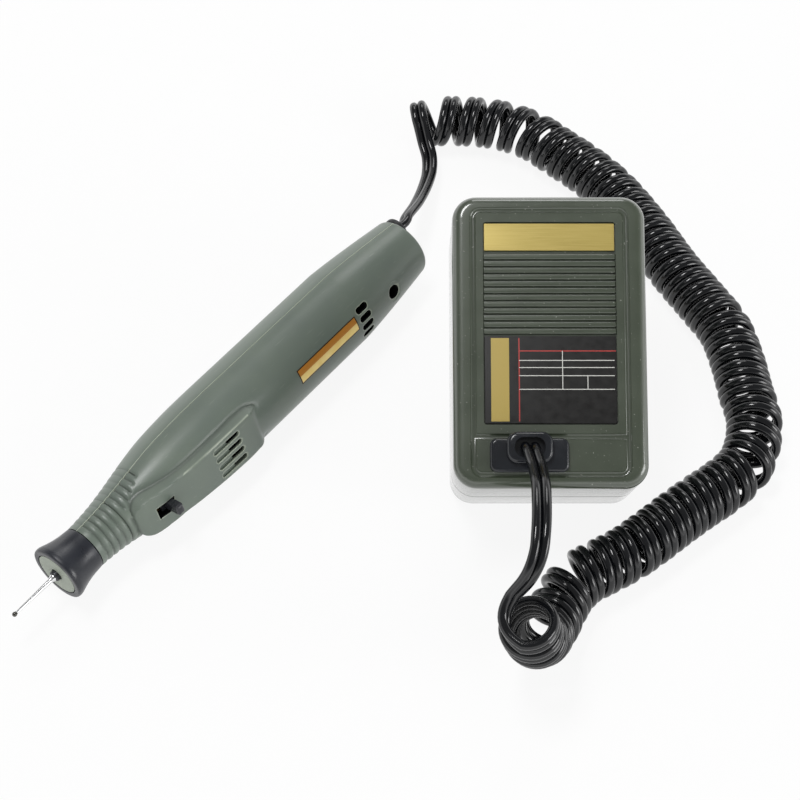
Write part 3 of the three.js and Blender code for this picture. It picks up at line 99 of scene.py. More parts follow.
def raw_solid(name, points, faces):
    """A closed solid in millimetres, still in its own frame, with its normals outward."""
    piece = place_mesh(name, points, faces, Matrix.Identity(4))
    shape = bmesh.new()
    shape.from_mesh(piece.data)
    bmesh.ops.remove_doubles(shape, verts=shape.verts, dist=weld_distance)
    bmesh.ops.dissolve_degenerate(shape, edges=shape.edges, dist=weld_distance)
    bmesh.ops.recalc_face_normals(shape, faces=shape.faces)
    shape.to_mesh(piece.data)
    shape.free()
    return piece


def combine(piece, tools, operation):
    """Cuts the tools out of the piece, or joins them to it, and removes them."""
    for tool in tools:
        step = piece.modifiers.new("step", "BOOLEAN")
        step.object = tool
        step.operation = operation
        step.solver = "EXACT"
    bpy.context.view_layer.update()
    finished = piece.evaluated_get(bpy.context.evaluated_depsgraph_get())
    made = bpy.data.meshes.new_from_object(finished)
    piece.modifiers.clear()
    piece.data = made
    for tool in tools:
        bpy.data.objects.remove(tool)
    return piece


def rounded_loop(x0, x1, y0, y1, corner, z, steps=6):
    """Points round a rectangle with round corners, at height z."""
    points = []
    for x, y, quarter in ((x1, y1, 0), (x0, y1, 1), (x0, y0, 2), (x1, y0, 3)):
        cx = x - math.copysign(corner, x - (x0 + x1) / 2)
        cy = y - math.copysign(corner, y - (y0 + y1) / 2)
        for k in range(steps + 1):
            angle = (quarter + k / steps) * math.pi / 2
            points.append((cx + corner * math.cos(angle), cy + corner * math.sin(angle), z))
    return points


def loft(name, loops, join=tube_faces):
    """A solid through loops of points, with flat ends unless it is joined otherwise."""
    points = [point for loop in loops for point in loop]
    return raw_solid(name, points, join(len(loops), len(loops[0])))


def slab(name, x0, x1, y0, y1, corner, z0, z1, top_edge=0, bottom_edge=0, steps=6):
    """A block with round corners in plan and round edges above and below."""
    loops = []
    for edge, level, sign in ((bottom_edge, z0, 1), (top_edge, z1, -1)):
        turns = np.linspace(0, math.pi / 2, edge_steps) if edge else [math.pi / 2]
        for turn in turns[::sign]:
            inset = edge * (1 - math.sin(turn))
            z = level + sign * edge * (1 - math.cos(turn))
            round_by = max(corner - inset, least_corner)
            loops.append(rounded_loop(
                x0 + inset, x1 - inset, y0 + inset, y1 - inset, round_by, z, steps))
    return loft(name, loops)


def rounded_outline(corners, steps=5):
    """Points of an outline whose corners (a, b, radius) are rounded."""
    points = []
    for k, (a, b, radius) in enumerate(corners):
        here = np.array([a, b], float)
        if not radius:
            points.append(here)
            continue
        before = np.array(corners[k - 1][:2], float) - here
        after = np.array(corners[(k + 1) % len(corners)][:2], float) - here
        start, end = here + unit(before) * radius, here + unit(after) * radius
        for t in np.linspace(0, 1, steps):
            points.append(start * (1 - t) ** 2 + here * 2 * t * (1 - t) + end * t**2)
    return points


def turned(name, corners, sides=72, hollow=False):
    """A piece turned round the X axis from (x, radius, corner radius) points."""
    outline = rounded_outline(corners)
    angles = np.linspace(0, 2 * math.pi, sides, endpoint=False)
    loops = [[(x, r * math.cos(a), r * math.sin(a)) for a in angles] for x, r in outline]
    return loft(name, loops, closed_tube_faces if hollow else tube_faces)


def stand_up(rod, x, y):
    """Stands a turned piece on end, with its axis at x, y."""
    rod.data.transform(Matrix.Translation((x, y, 0)) @ Matrix.Rotation(-math.pi / 2, 4, "Y"))
    return rod


def upright(name, x, y, z0, z1, radius, edge=0, sides=48):
    """A standing rod, with round edges if it has an edge radius."""
    corners = [(z0, radius, edge), (z1, radius, edge)]
    if edge:
        corners = [(z0, axis_gap, 0), *corners, (z1, axis_gap, 0)]
    return stand_up(turned(name, corners, sides), x, y)


# Shared finishes
# Each finish starts from the real material and is uneven the way that its making and its use
# leave it. Edges sharper than the crease angle stay crisp.
crease_angle = math.radians(32)


def linear(text):
    """An sRGB hex colour as the linear values that a shader takes."""
    parts = [int(text[k:k + 2], 16) / 255 for k in (0, 2, 4)]
    return (*[p / 12.92 if p <= 0.04045 else ((p + 0.055) / 1.055) ** 2.4 for p in parts], 1)


def new_material(name, own):
    """A new material and its shader, with the shader's own values set."""
    material = bpy.data.materials.new(name)
    material.use_nodes = True
    shader = material.node_tree.nodes["Principled BSDF"]
    for socket, value in own.items():
        shader.inputs[socket].default_value = value
    return material, shader


def add_node(material, kind, sockets, **settings):
    """Adds one node. A socket takes a number, a colour, or another node's output to link."""
    tree = material.node_tree
    node = tree.nodes.new(kind)
    for name, value in settings.items():
        setattr(node, name, value)
    for key, value in sockets.items():
        if isinstance(value, bpy.types.NodeSocket):
            tree.links.new(value, node.inputs[key])
        else:
            node.inputs[key].default_value = value
    return node


def within(material, value, low, high):
    """One where the value lies between low and high."""
    above = add_node(material, "ShaderNodeMath", {0: value, 1: low}, operation="GREATER_THAN")
    below = add_node(material, "ShaderNodeMath", {0: value, 1: high}, operation="LESS_THAN")
    both = {0: above.outputs[0], 1: below.outputs[0]}
    return add_node(material, "ShaderNodeMath", both, operation="MULTIPLY").outputs[0]


def in_field(material, across, up, x0, x1, y0, y1):
    """One where two values lie in a rectangle."""
    both = {0: within(material, across, x0, x1), 1: within(material, up, y0, y1)}
    return add_node(material, "ShaderNodeMath", both, operation="MULTIPLY").outputs[0]


def in_millimetres(material, frame_matrix):
    """Places on the piece, in millimetres of the frame that it was made in."""
    return add_node(material, "ShaderNodeMapping", {
        "Vector": add_node(material, "ShaderNodeTexCoord", {}).outputs["Object"],
        "Location": frame_matrix.translation,
        "Rotation": frame_matrix.to_3x3().normalized().to_euler(),
        "Scale": (mm, mm, mm),
    }, vector_type="TEXTURE").outputs["Vector"]


def uneven_finish(name, frame_matrix, own, tones, roughness, patch, detail=5, ends=(0.3, 0.7)):
    """A material whose tone and gloss change together in patches of this size, and its places.

    The size is in millimetres, one for all ways or one for each axis, and own holds the values
    that the material has on the shader's own sockets.
    """
    material, shader = new_material(name, own)
    place = in_millimetres(material, frame_matrix)
    sized = add_node(material, "ShaderNodeMapping", {
        "Vector": place, "Scale": tuple(1 / np.broadcast_to(patch, 3))})
    cloud = add_node(material, "ShaderNodeTexNoise", {
        "Vector": sized.outputs["Vector"], "Scale": 1, "Detail": detail}).outputs["Fac"]
    tone = add_node(material, "ShaderNodeMix", {
        0: cloud, 6: linear(tones[0]), 7: linear(tones[1])}, data_type="RGBA")
    gloss = add_node(material, "ShaderNodeMapRange", {
        "Value": cloud, "From Min": ends[0], "From Max": ends[1],
        "To Min": roughness[0], "To Max": roughness[1]})
    links = material.node_tree.links
    links.new(tone.outputs[2], shader.inputs["Base Color"])
    links.new(gloss.outputs["Result"], shader.inputs["Roughness"])
    return material, place


def add_skin(material, place, grain, strength, depth=0.06, detail=2):
    """Roughens the surface with a grain of this size and depth in millimetres."""
    fine = add_node(material, "ShaderNodeTexNoise", {
        "Vector": place, "Scale": 1 / grain, "Detail": detail})
    skin = add_node(material, "ShaderNodeBump", {
        "Height": fine.outputs["Fac"], "Strength": strength, "Distance": depth * mm})
    shader = material.node_tree.nodes["Principled BSDF"]
    material.node_tree.links.new(skin.outputs["Normal"], shader.inputs["Normal"])


def lay_over(material, share, ink):
    """Lays a colour over the material's own, by this share."""
    colour = material.node_tree.nodes["Principled BSDF"].inputs["Base Color"]
    layer = add_node(material, "ShaderNodeMix", {
        0: share, 6: colour.links[0].from_socket, 7: linear(ink)}, data_type="RGBA")
    material.node_tree.links.new(layer.outputs[2], colour)


def moulded_plastic(name, frame_matrix, tones, roughness, patch, grain, strength):
    """Moulded plastic: a slightly uneven tone, an uneven gloss and a fine skin texture."""
    material, place = uneven_finish(name, frame_matrix, {"IOR": 1.5}, tones, roughness, patch)
    add_skin(material, place, grain, strength)
    return material


def worked_steel(name, frame_matrix, tones, roughness, line):
    """Turned or ground metal: fine lines round the piece, bright where they catch the light."""
    own, line_length = {"Metallic": 1}, 5
    sizes = (line, line_length, line_length)
    return uneven_finish(name, frame_matrix, own, tones, roughness, sizes, detail=3)[0]


def fix_in_place(piece, name, frame_matrix, material, body, node):
    """Gives a finished solid its place and material, hangs it on its body, and hides the CAD node it
    stands for.
    """
    piece.name = name
    piece.data.name = name
    piece.data.transform(frame_matrix)
    piece.data.materials.clear()
    piece.data.materials.append(material)
    piece.data.shade_smooth()
    piece.data.set_sharp_from_angle(angle=crease_angle)
    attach(piece, body)
    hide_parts(node)


# Camera
# A long lens stands off in front of the supply and looks steeply down on the bench, so that the
# pen runs up to the right and the supply's face is square to the lens.
nose_low, nose_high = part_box("nose_bearing_cap")
bench_origin = Vector((nose_low.x, (nose_low.y + nose_high.y) / 2, 0))
camera_azimuth = math.radians(-51.16)
camera_elevation = math.radians(54)
camera_distance = 640
camera_aim = Vector((120.05, -32.56, 0))
camera_back = Vector((
    math.sin(camera_azimuth) * math.cos(camera_elevation),
    -math.cos(camera_azimuth) * math.cos(camera_elevation),
    math.sin(camera_elevation),
))
camera_data = bpy.data.cameras.new("camera")
camera_data.lens = 90
camera_data.sensor_width = 36
camera_data.clip_end = 10
camera = new_object("camera", camera_data)
camera.location = bench_origin + (camera_aim + camera_back * camera_distance) * mm
camera.rotation_mode = "QUATERNION"
camera.rotation_quaternion = (-camera_back).to_track_quat("-Z", "Y")
bpy.context.scene.camera = camera
bpy.context.scene.view_settings.view_transform = "Standard"

# Twin flex, curled in its middle
# Two cores of stranded copper side by side in soft black PVC. The maker winds the middle on a rod
# and bakes it, so it keeps its curls, and leaves a straight lead at the pen and at the supply.
core_radius = 1.42
core_offset = 1.38
core_steps = 18
core_crease = math.radians(50)
flex_thickness = 2.9
curl_radius = 7.35
curl_count = 43.48
curl_start = math.radians(57)
curl_steps = 40
crowd_shares = [[0, 0.45], [0.03, 0.55], [0.035, 0.86], [0.25, 0.94], [0.36, 1], [1, 1]]
lead_step = 1.2
line_steps = 40
frame_steps = 20
bend_reach = 10
spiral_route = [
    [212.2, 33.4, 9.3], [216.6, 28.8, 9.3], [223.8, 19.5, 9.3], [229.1, 9.8, 9.3], [231.9, -1.5, 9.3],
    [231.4, -14.3, 9.3], [230.6, -25.4, 9.3], [228.1, -38.1, 9.3], [221.1, -56.5, 9.3],
    [212.7, -74.4, 9.3], [207, -89.2, 9.3], [202.1, -100.8, 9.3], [194, -111, 9.3],
    [185.1, -120.1, 9.3], [178.4, -127.3, 9.3], [169.8, -132.4, 9.3], [161.2, -134.8, 9.3],
    [151.1, -133.7, 9.3], [141.7, -131.3, 9.3], [132.1, -129.1, 9.3], [122.5, -127.2, 9.3],
    [113.2, -124.9, 9.3], [104.8, -121.8, 9.3], [97.9, -119.3, 9.3], [90.4, -119, 9.3],
    [81.6, -121, 10.2], [74.2, -123, 13.6], [68.8, -124.4, 19.2], [65.4, -124.8, 25.6],
    [63.3, -124.6, 32.1], [61.9, -124.1, 38.3],
]
pen_lead_route = [
    [169.6, 4.6, 17.5], [179.6, 8.3, 13], [190.5, 13.3, 8.5], [198.7, 17.8, 6.2], [204, 22, 6.4],
    [207.2, 26.3, 8.2], [209.3, 29.4, 11], [211, 32.2, 14.2], [212.5, 34, 15.9],
]
supply_lead_route = [
    [97.4, -100.5, 51], [91.5, -105.8, 54.5], [86.2, -109.9, 56.2], [81.6, -113.3, 56.6],
    [77.5, -116.1, 56], [73.9, -118.3, 54.2], [70.2, -119.5, 51.4], [67.4, -119.3, 47.8],
    [64.2, -118, 43.6], [61.4, -117, 40.4],
]
# A lead turns its flat side from one end to the other, mostly near the end that this power favours
pen_lead_twist, supply_lead_twist = 0.6, 3
ease_reach, ease_rounds = 7, 25

bench_frame = Matrix.Translation(bench_origin) @ Matrix.Scale(mm, 4)
pen_turn = math.radians(73)
pen_place = Vector((nose_low.x, bench_origin.y, (nose_low.z + nose_high.z) / 2))
pen_frame = Matrix.Translation(pen_place) @ Matrix.Rotation(pen_turn, 4, "X") @ Matrix.Scale(mm, 4)
supply_lean = math.radians(27)
supply_turn = math.radians(-51.16)
supply_place = bench_origin + Vector((116.84, -91.19, -0.433)) * mm
supply_rotation = Matrix.Rotation(supply_turn, 4, "Z") @ Matrix.Rotation(supply_lean, 4, "X")
supply_frame = Matrix.Translation(supply_place) @ supply_rotation @ Matrix.Scale(mm, 4)


def square_to(ahead, wide):
    """The part of a direction that is square to the way ahead."""
    return unit(wide - ahead * np.sum(wide * ahead, axis=-1, keepdims=True))


def smooth_line(points, steps=line_steps):
    """Closely spaced places on a centripetal curve through the points."""
    points = np.array(points, float)
    ends = [2 * points[0] - points[1], 2 * points[-1] - points[-2]]
    spread = np.vstack([ends[0], points, ends[1]])
    gaps = np.sqrt(np.linalg.norm(np.diff(spread, axis=0), axis=1))[:, None]
    slopes = np.diff(spread, axis=0) / gaps
    chords = (spread[2:] - spread[:-2]) / (gaps[1:] + gaps[:-1])
    tangents = slopes[:-1] - chords + slopes[1:]
    places = []
    for k in range(len(points) - 1):
        start, end = tangents[k] * gaps[k + 1], tangents[k + 1] * gaps[k + 1]
        rise = points[k + 1] - points[k]
        t = np.arange(steps)[:, None] / steps
        cubic = (start + end - 2 * rise) * t**3 + (3 * rise - 2 * start - end) * t**2
        places.append(points[k] + start * t + cubic)
    return np.vstack([*places, points[-1:]])


def spread_evenly(places, count):
    """The same line as evenly spaced places, and its length."""
    run = np.concatenate([[0], np.cumsum(np.linalg.norm(np.diff(places, axis=0), axis=1))])
    wanted = np.linspace(0, run[-1], count + 1)
    return np.stack([np.interp(wanted, run, places[:, k]) for k in range(3)], axis=1), run[-1]


def spiral():
    """Places on the middle line of the curled flex, its direction and its wide direction."""
    count = len(spiral_route) * frame_steps
    middle, length = spread_evenly(smooth_line(spiral_route), count)
    forward = unit(np.gradient(middle, axis=0))
    across = [np.array([0, 0, 1.0])]
    for direction in forward:
        across.append(square_to(direction, across[-1]))
    across = np.array(across[1:])
    step = length / count
    turned_by = [0.0]
    for k in range(1, count + 1):
        before, after = max(k - bend_reach, 0), min(k + bend_reach, count)
        cosine = np.clip(forward[before].dot(forward[after]), -1, 1)
        bend = math.acos(cosine) / ((after - before) * step)
        crowd = np.interp(k / count, *zip(*crowd_shares))
        turned_by.append(turned_by[-1] + crowd * (1 - curl_radius * bend))
    steps = round(curl_count * curl_steps)
    share = np.arange(steps + 1) / steps
    at = np.interp(share * turned_by[-1], turned_by, np.arange(count + 1))

    def along(values):
        stations = np.arange(count + 1)
        return np.stack([np.interp(at, stations, values[:, k]) for k in range(3)], axis=1)

    heading, upward, centre = unit(along(forward)), unit(along(across)), along(middle)
    angle = (share * curl_count * 2 * math.pi + curl_start)[:, None]
    aside = np.cross(upward, heading)
    out = upward * np.cos(angle) + aside * np.sin(angle)
    places = centre + out * curl_radius
    ahead = unit(np.gradient(places, axis=0))
    return places, ahead, square_to(ahead, heading)


def lead(start, start_ahead, start_wide, route, end, end_wide, twist_power):
    """A free stretch that leaves one end straight and follows its route to the other."""
    line = smooth_line([start, start + start_ahead * flex_thickness, *np.array(route, float), end])
    length = np.linalg.norm(np.diff(line, axis=0), axis=1).sum()
    places, _ = spread_evenly(line, math.ceil(length / lead_step))
    ahead = unit(np.gradient(places, axis=0))
    share = np.linspace(0, 1, len(places))[:, None] ** twist_power
    return places, square_to(ahead, start_wide * (1 - share) + end_wide * share)


def ease_joint(places, joint):
    """Rounds the corner where a lead meets the spiral, within a short reach of it."""
    near = slice(joint - ease_reach, joint + ease_reach)
    for _ in range(ease_rounds):
        before = places[joint - ease_reach - 1:joint + ease_reach - 1]
        after = places[joint - ease_reach + 1:joint + ease_reach + 1]
        places[near] = (2 * places[near] + before + after) / 4


def direction_on_bench(frame_matrix, direction):
    """A direction from a part's own frame in that of the bench."""
    return unit(np.array(frame_matrix.to_3x3() @ Vector(direction)))


def place_on_bench(frame_matrix, point):
    """A place from a part's own millimetres in those of the bench."""
    return np.array(bench_frame.inverted() @ frame_matrix @ Vector(point))


grommet_y, grommet_z, grommet_back = 5.3, -1.8, 164
slot_turn = math.radians(41.5)
mouth_x, mouth_y, mouth_floor = -6.4, 11.25, 45.1

curl_places, curl_ahead, curl_wide = spiral()
first = curl_places[0] - curl_ahead[0] * flex_thickness
last = curl_places[-1] + curl_ahead[-1] * flex_thickness
pen_exit = place_on_bench(pen_frame, (grommet_back, grommet_y, grommet_z))
supply_exit = place_on_bench(supply_frame, (mouth_x, mouth_y, mouth_floor))
pen_wide = direction_on_bench(pen_frame, (0, math.cos(slot_turn), math.sin(slot_turn)))
pen_places, pen_wides = lead(
    pen_exit, np.array([1.0, 0, 0]), pen_wide, pen_lead_route, first, curl_wide[0], pen_lead_twist)
supply_places, supply_wides = lead(
    supply_exit, direction_on_bench(supply_frame, (0, 0, 1)),
    direction_on_bench(supply_frame, (-1, 0, 0)),
    supply_lead_route, last, curl_wide[-1], supply_lead_twist)

flex_places = np.vstack([pen_places, curl_places, supply_places[::-1]])
flex_wide = np.vstack([pen_wides, curl_wide, supply_wides[::-1]])
for joint in (len(pen_places), len(flex_places) - len(supply_places)):
    ease_joint(flex_places, joint)
    ease_joint(flex_wide, joint)
flex_ahead = unit(np.gradient(flex_places, axis=0))
flex_wide = square_to(flex_ahead, flex_wide)
flex_thin = np.cross(flex_ahead, flex_wide)
waist = math.acos(core_offset / core_radius)
right_arc = np.linspace(waist - math.pi, math.pi - waist, core_steps)
left_arc = np.linspace(waist, 2 * math.pi - waist, core_steps)[1:-1]
section = [(core_offset + core_radius * math.cos(a), core_radius * math.sin(a)) for a in right_arc]
section += [(core_radius * math.cos(a) - core_offset, core_radius * math.sin(a)) for a in left_arc]
rings = [flex_places + flex_wide * u + flex_thin * v for u, v in section]
flex_points = np.stack(rings, axis=1).reshape(-1, 3)
flex = place_mesh("twin_flex", flex_points, tube_faces(len(flex_places), len(section)), bench_frame)
flex.data.shade_smooth()
flex.data.set_sharp_from_angle(angle=core_crease)

# PVC comes off the extruder glossy and picks up a haze from handling, so its highlights are sharp
# but uneven. The haze patches are about 4 mm across.
haze_size, ripple_size, ripple_depth, ripple_strength = 4, 3, 0.1, 0.1
flex_pvc, place = uneven_finish(
    "extruded_black_pvc", bench_frame, {"IOR": 1.53}, ("07080b", "0f1115"), (0.1, 0.2), haze_size,
    detail=4, ends=(0.35, 0.65))
add_skin(flex_pvc, place, ripple_size, ripple_strength, ripple_depth)
flex.data.materials.append(flex_pvc)
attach(flex, "body")
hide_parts("pen_lead", "curly_cord", "supply_lead")

# Pen housing
# Two half shells of grey-green ABS, moulded with a ribbed neck and a flat pad for the switch, and
# spark-eroded to a fine matt texture. They meet on a lengthwise seam and one screw holds them.
housing_length = 161.5
waist_radius, belly_radius, tail_radius = 7.3, 13.6, 10.5
neck_start, swell_length, tail_start = 12, 50, 128
spigot_start, spigot_radius, spigot_bore = 2.8, 6.1, 5.3
swell_shares = [
    [0, 0], [0.18, 0.13], [0.3, 0.28], [0.43, 0.48], [0.56, 0.67], [0.68, 0.82], [0.81, 0.91],
    [0.94, 0.97], [1.14, 1], [1.3, 1],
]
tail_curve = 1.25
rear_edge, rear_drop, rear_ring = 1.5, 0.9, 6
shell_wall = 1.8
seam_half = 0.07
seam_round, seam_reach = 0.1, 0.25
groove_count, groove_pitch, groove_depth, groove_curve = 10, 2.35, 0.6, 0.5
far_groove_share = 0.4
groove_end = neck_start + (groove_count + 0.5) * groove_pitch
rim_drop, rim_width = 0.16, 0.36

# The pad's flat top and half width along the pen
pad_stations = np.array([26.3, 26.6, 27, 28, 29.2, 31, 36, 42, 48, 55, 62, 72, 74.6, 76.4, 79])
pad_tops = np.array(
    [8.3, 8.7, 9.1, 9.8, 10.3, 10.8, 11.8, 12.5, 13.4, 13.9, 14.17, 14.17, 14.0, 12.6, 10])
pad_top = pad_tops.max()
pad_widths = np.array([2.6, 4.2, 5.1, 6.2, 6.9, 7.3, 7.25, 7.1, 7.2, 7.5, 7.75, 7.8, 7.5, 6.8, 6])
pad_lean = math.radians(10)
pad_corner, pad_fillet = 0.4, 0.5
valley_depth, valley_reach, valley_fade = 0.55, 0.9, 3
# The valley's share of the painted shade, and how far that shade reaches beside the pad
valley_shade_share, shade_reach = 0.8, 0.5
wall_fade = math.radians(8)
# The pad's edge gets a painted highlight between these places along the pen
highlight_front, highlight_back, highlight_width = 45, 73, 0.3
grazing = 0.05

# The grooves leave the pad free: the free strip starts here and widens toward the rear
strip_start, strip_length, strip_fade = 24, 20, 1.5
strip_turn, strip_growth, strip_edge = 36, 3, 0.12

window_front, window_length, window_half = 32.8, 6.5, 2.1
pad_vent_front, pad_vent_length, pad_vent_open = 56.6, 10.9, 5.2
pad_vent_width, pad_vent_pitch, pad_vent_depth, pad_vent_count = 1.75, 3.15, 0.8, 4
rear_vent_front, rear_vent_length, rear_vent_width = 125.4, 5.2, 2.3
rear_vent_pitch, rear_vent_turn, rear_vent_count = math.radians(14.2), math.radians(0.6), 4
screw_x, screw_recess = 142.6, 2.4
far_away, round_end_share = 9.0, 0.98

# Where each stretch of the mesh starts along the pen and how close its stations are
switch_side_zones = [
    (neck_start, 0.25), (40.5, 0.8), (56, 0.3), (80, 1.6), (124, 0.3), (132, 1.2), (139, 0.3),
    (146.5, 1.2), (housing_length - rear_edge, 0.25), (housing_length, 0.25),
]
plain_side_zones = [
    (neck_start, 0.3), (37, 1.2), (124, 0.3), (132, 1.5),
    (housing_length - rear_edge, 0.25), (housing_length, 0.25),
]
seam_degrees = np.array([0, 0.4, 0.8, 1.3, 2, 3])
widest_degrees, switch_side_step, plain_side_step = 84, 1.5, 3


def fair(x, stations, values):
    """A smooth run through the stations."""
    stations, values = np.array(stations, float), np.array(values, float)
    slopes = np.gradient(values, stations)
    k = np.clip(np.searchsorted(stations, x) - 1, 0, len(stations) - 2)
    width = stations[k + 1] - stations[k]
    t = np.clip((x - stations[k]) / width, 0, 1)
    rise = values[k + 1] - values[k]
    cubic = (slopes[k] + slopes[k + 1]) * width - 2 * rise
    square = 3 * rise - (2 * slopes[k] + slopes[k + 1]) * width
    return values[k] + slopes[k] * width * t + square * t**2 + cubic * t**3


def plain_outline(x):
    """Radius of the housing before the grooves and the pad."""
    along, out = np.array(swell_shares).T
    stations = neck_start + along * swell_length
    radius = fair(x, stations, waist_radius + out * (belly_radius - waist_radius))
    tail = np.clip((x - tail_start) / (housing_length - rear_edge - tail_start), 0, 1)
    radius = radius - (belly_radius - tail_radius) * tail**tail_curve
    edge = np.clip((x - housing_length + rear_edge) / rear_edge, 0, 1)
    return radius - rear_drop * (1 - np.sqrt(1 - edge**2))


def slot_distance(x, aside, front, length, width):
    """Distance outside a round-ended slot that runs along the pen."""
    past_end = np.maximum(np.abs(x - front - length / 2) - (length - width) / 2, 0)
    return np.hypot(past_end, aside) - width / 2


def shaped_radius(x, turn):
    """Radius before the openings' rims, painted shade in grooves and valley, painted pad-edge
    highlight.
    """
    radius = plain_outline(x) + 0 * turn
    wave = np.abs(np.sin(math.pi * (x - neck_start) / groove_pitch)) ** groove_curve
    strip = np.radians(strip_turn + strip_growth * np.clip(x - strip_start, 0, strip_length))
    from_strip = np.clip(1 - (np.abs(turn) - strip) / strip_edge, 0, 1)
    grooved = np.where((x > neck_start + groove_pitch / 2) & (x < groove_end), 1.0, 0.0)
    spared = np.clip((x - strip_start) / strip_fade, 0, 1) * from_strip
    behind = far_groove_share + (1 - far_groove_share) * (np.cos(turn) > 0)
    width = fair(x, pad_stations, pad_widths)
    beside = np.maximum(np.abs(radius * np.sin(turn)) - width, pad_stations[0] - x)
    faced = np.clip((pad_stations[-1] - x) / valley_fade, 0, 1) * (np.cos(turn) > 0)
    valley = valley_depth * np.exp(-(beside / valley_reach) ** 2) * faced
    foot = np.sqrt(np.maximum(radius**2 - width**2, 1))
    groove = groove_depth * (1 - wave) * grooved * (1 - spared) * behind
    radius = radius - groove - valley
    facing = np.maximum(np.cos(turn), grazing)
    top = fair(x, pad_stations, pad_tops) / facing
    wall = math.cos(pad_lean) * np.abs(np.sin(turn)) + math.sin(pad_lean) * facing
    side = (width * math.cos(pad_lean) + foot * math.sin(pad_lean)) / np.maximum(wall, grazing)
    pad = (top + side - np.sqrt((top - side) ** 2 + pad_corner**2)) / 2
    on_pad = (x > pad_stations[0]) & (x < pad_stations[-1]) & (np.cos(turn) > grazing)
    raised = (radius + pad + np.sqrt((radius - pad) ** 2 + pad_fillet**2)) / 2
    # Painted shade: deepest in the grooves, and in the valley beside the pad
    valley_shade_fade = np.clip(beside / shade_reach + valley_shade_share, 0, 1)
    hollow = groove / groove_depth + valley_shade_share * valley / valley_depth * valley_shade_fade
    # Painted highlight along the crease where the pad's top meets its sides
    pad_edge_highlight = np.exp(-((top - side) / highlight_width) ** 2) * on_pad
    pad_edge_highlight = pad_edge_highlight * (x > highlight_front) * (x < highlight_back)
    past_wall = np.abs(turn) - np.arctan2(width, foot)
    held = np.clip(1 - (past_wall - wall_fade) / wall_fade, 0, 1) * on_pad
    return radius + (raised - radius) * held, hollow, pad_edge_highlight


def spread(count, pitch, middle=0.0):
    """Evenly spaced values on both sides of the middle."""
    return [(k - (count - 1) / 2) * pitch + middle for k in range(count)]


def opening_distance(x, turn, radius):
    """Distance along the surface to the nearest opening."""
    across = radius * np.sin(turn)
    window_ends = np.abs(x - window_front - window_length / 2) - window_length / 2
    nearest = np.maximum(window_ends, np.abs(across) - window_half)
    nearest = np.minimum(nearest, np.hypot(x - screw_x, across) - screw_recess)
    for aside in spread(pad_vent_count, pad_vent_pitch):
        slot = slot_distance(x, across - aside, pad_vent_front, pad_vent_length, pad_vent_width)
        nearest = np.minimum(nearest, slot)
    nearest = np.where(np.cos(turn) > 0, np.minimum(nearest, far_away), far_away)
    for half in (0, math.pi):
        for middle in spread(rear_vent_count, rear_vent_pitch, rear_vent_turn):
            offset = np.angle(np.exp(1j * (turn - middle - half))) * radius
            slot = slot_distance(x, offset, rear_vent_front, rear_vent_length, rear_vent_width)
            nearest = np.minimum(nearest, slot)
    return nearest


def housing_radius(x, turn):
    """Radius at x and at a turn from the middle of the switch side."""
    radius, _, _ = shaped_radius(x, turn)
    nearest = opening_distance(x, turn, radius)
    radius = radius - rim_drop * np.clip(1 - nearest / rim_width, 0, 1) ** 2
    from_seam = np.abs(np.cos(turn)) * radius
    return radius - seam_round * np.clip(1 - from_seam / seam_reach, 0, 1) ** 2


def stations_along(zones):
    """Places along the pen: each zone has its start and its spacing, up to the next zone."""
    places = []
    for (start, spacing), (end, _) in zip(zones, zones[1:]):
        count = max(round((end - start) / spacing), 1)
        places.append(np.linspace(start, end, count, endpoint=False))
    return np.concatenate([*places, [zones[-1][0]]])


def half_shell(side):
    """A closed half shell: its outside, rear wall, inside and front edge as a loop at each turn."""
    zones, step = switch_side_zones, switch_side_step
    if side < 0:
        zones, step = plain_side_zones, plain_side_step
    xs = stations_along(zones)
    between = np.arange(-widest_degrees, widest_degrees + step / 2, step)
    turns = np.radians(np.concatenate([-90 + seam_degrees, between, 90 - seam_degrees[::-1]]))
    if side < 0:
        turns = turns + math.pi
    rear_inside = housing_length - shell_wall
    inside_xs = xs[(xs > neck_start + shell_wall) & (xs < rear_inside)][::-3]
    inside = plain_outline(inside_xs) - shell_wall - groove_depth * (inside_xs < groove_end)
    loop = [(spigot_start, spigot_radius), (neck_start, spigot_radius)]
    loop += zip(xs, housing_radius(xs[:, None], turns[None, :]))
    loop += [(housing_length, rear_ring), (housing_length, 0)]
    loop += [(rear_inside, 0), (rear_inside, rear_ring), *zip(inside_xs, inside)]
    loop += [(neck_start, spigot_bore), (spigot_start, spigot_bore)]
    points = []
    for x, radius in loop:
        across = radius * np.sin(turns)
        height = seam_half + np.maximum(radius - seam_half, 0) * np.abs(np.cos(turns))
        points.append(np.stack([np.full(turns.shape, x), across, side * height], axis=1))
    count, columns = len(points), len(turns)
    faces = []
    for row in range(count):
        for here in range(row * columns, (row + 1) * columns - 1):
            below = (here + columns) % (count * columns)
            faces.append((here, here + 1, below + 1, below))
    faces.append(tuple(row * columns for row in range(count)))
    faces.append(tuple(row * columns + columns - 1 for row in reversed(range(count))))
    return np.array(points).reshape(-1, 3), faces


def lengthwise_slot(name, front, length, width, bottom, top, turn=0.0):
    """A cutter for a round-ended slot along the pen, turned about its axis."""
    round_by = width / 2 * round_end_share
    loop = rounded_loop(front, front + length, -width / 2, width / 2, round_by, 0, round_steps)
    cutter = loft(name, [[(x, y, z) for x, y, _ in loop] for z in (bottom, top)])
    cutter.data.transform(Matrix.Rotation(-turn, 4, "X"))
    return cutter


switch_side = raw_solid("switch_side", *half_shell(1))
plain_side = raw_solid("plain_side", *half_shell(-1))

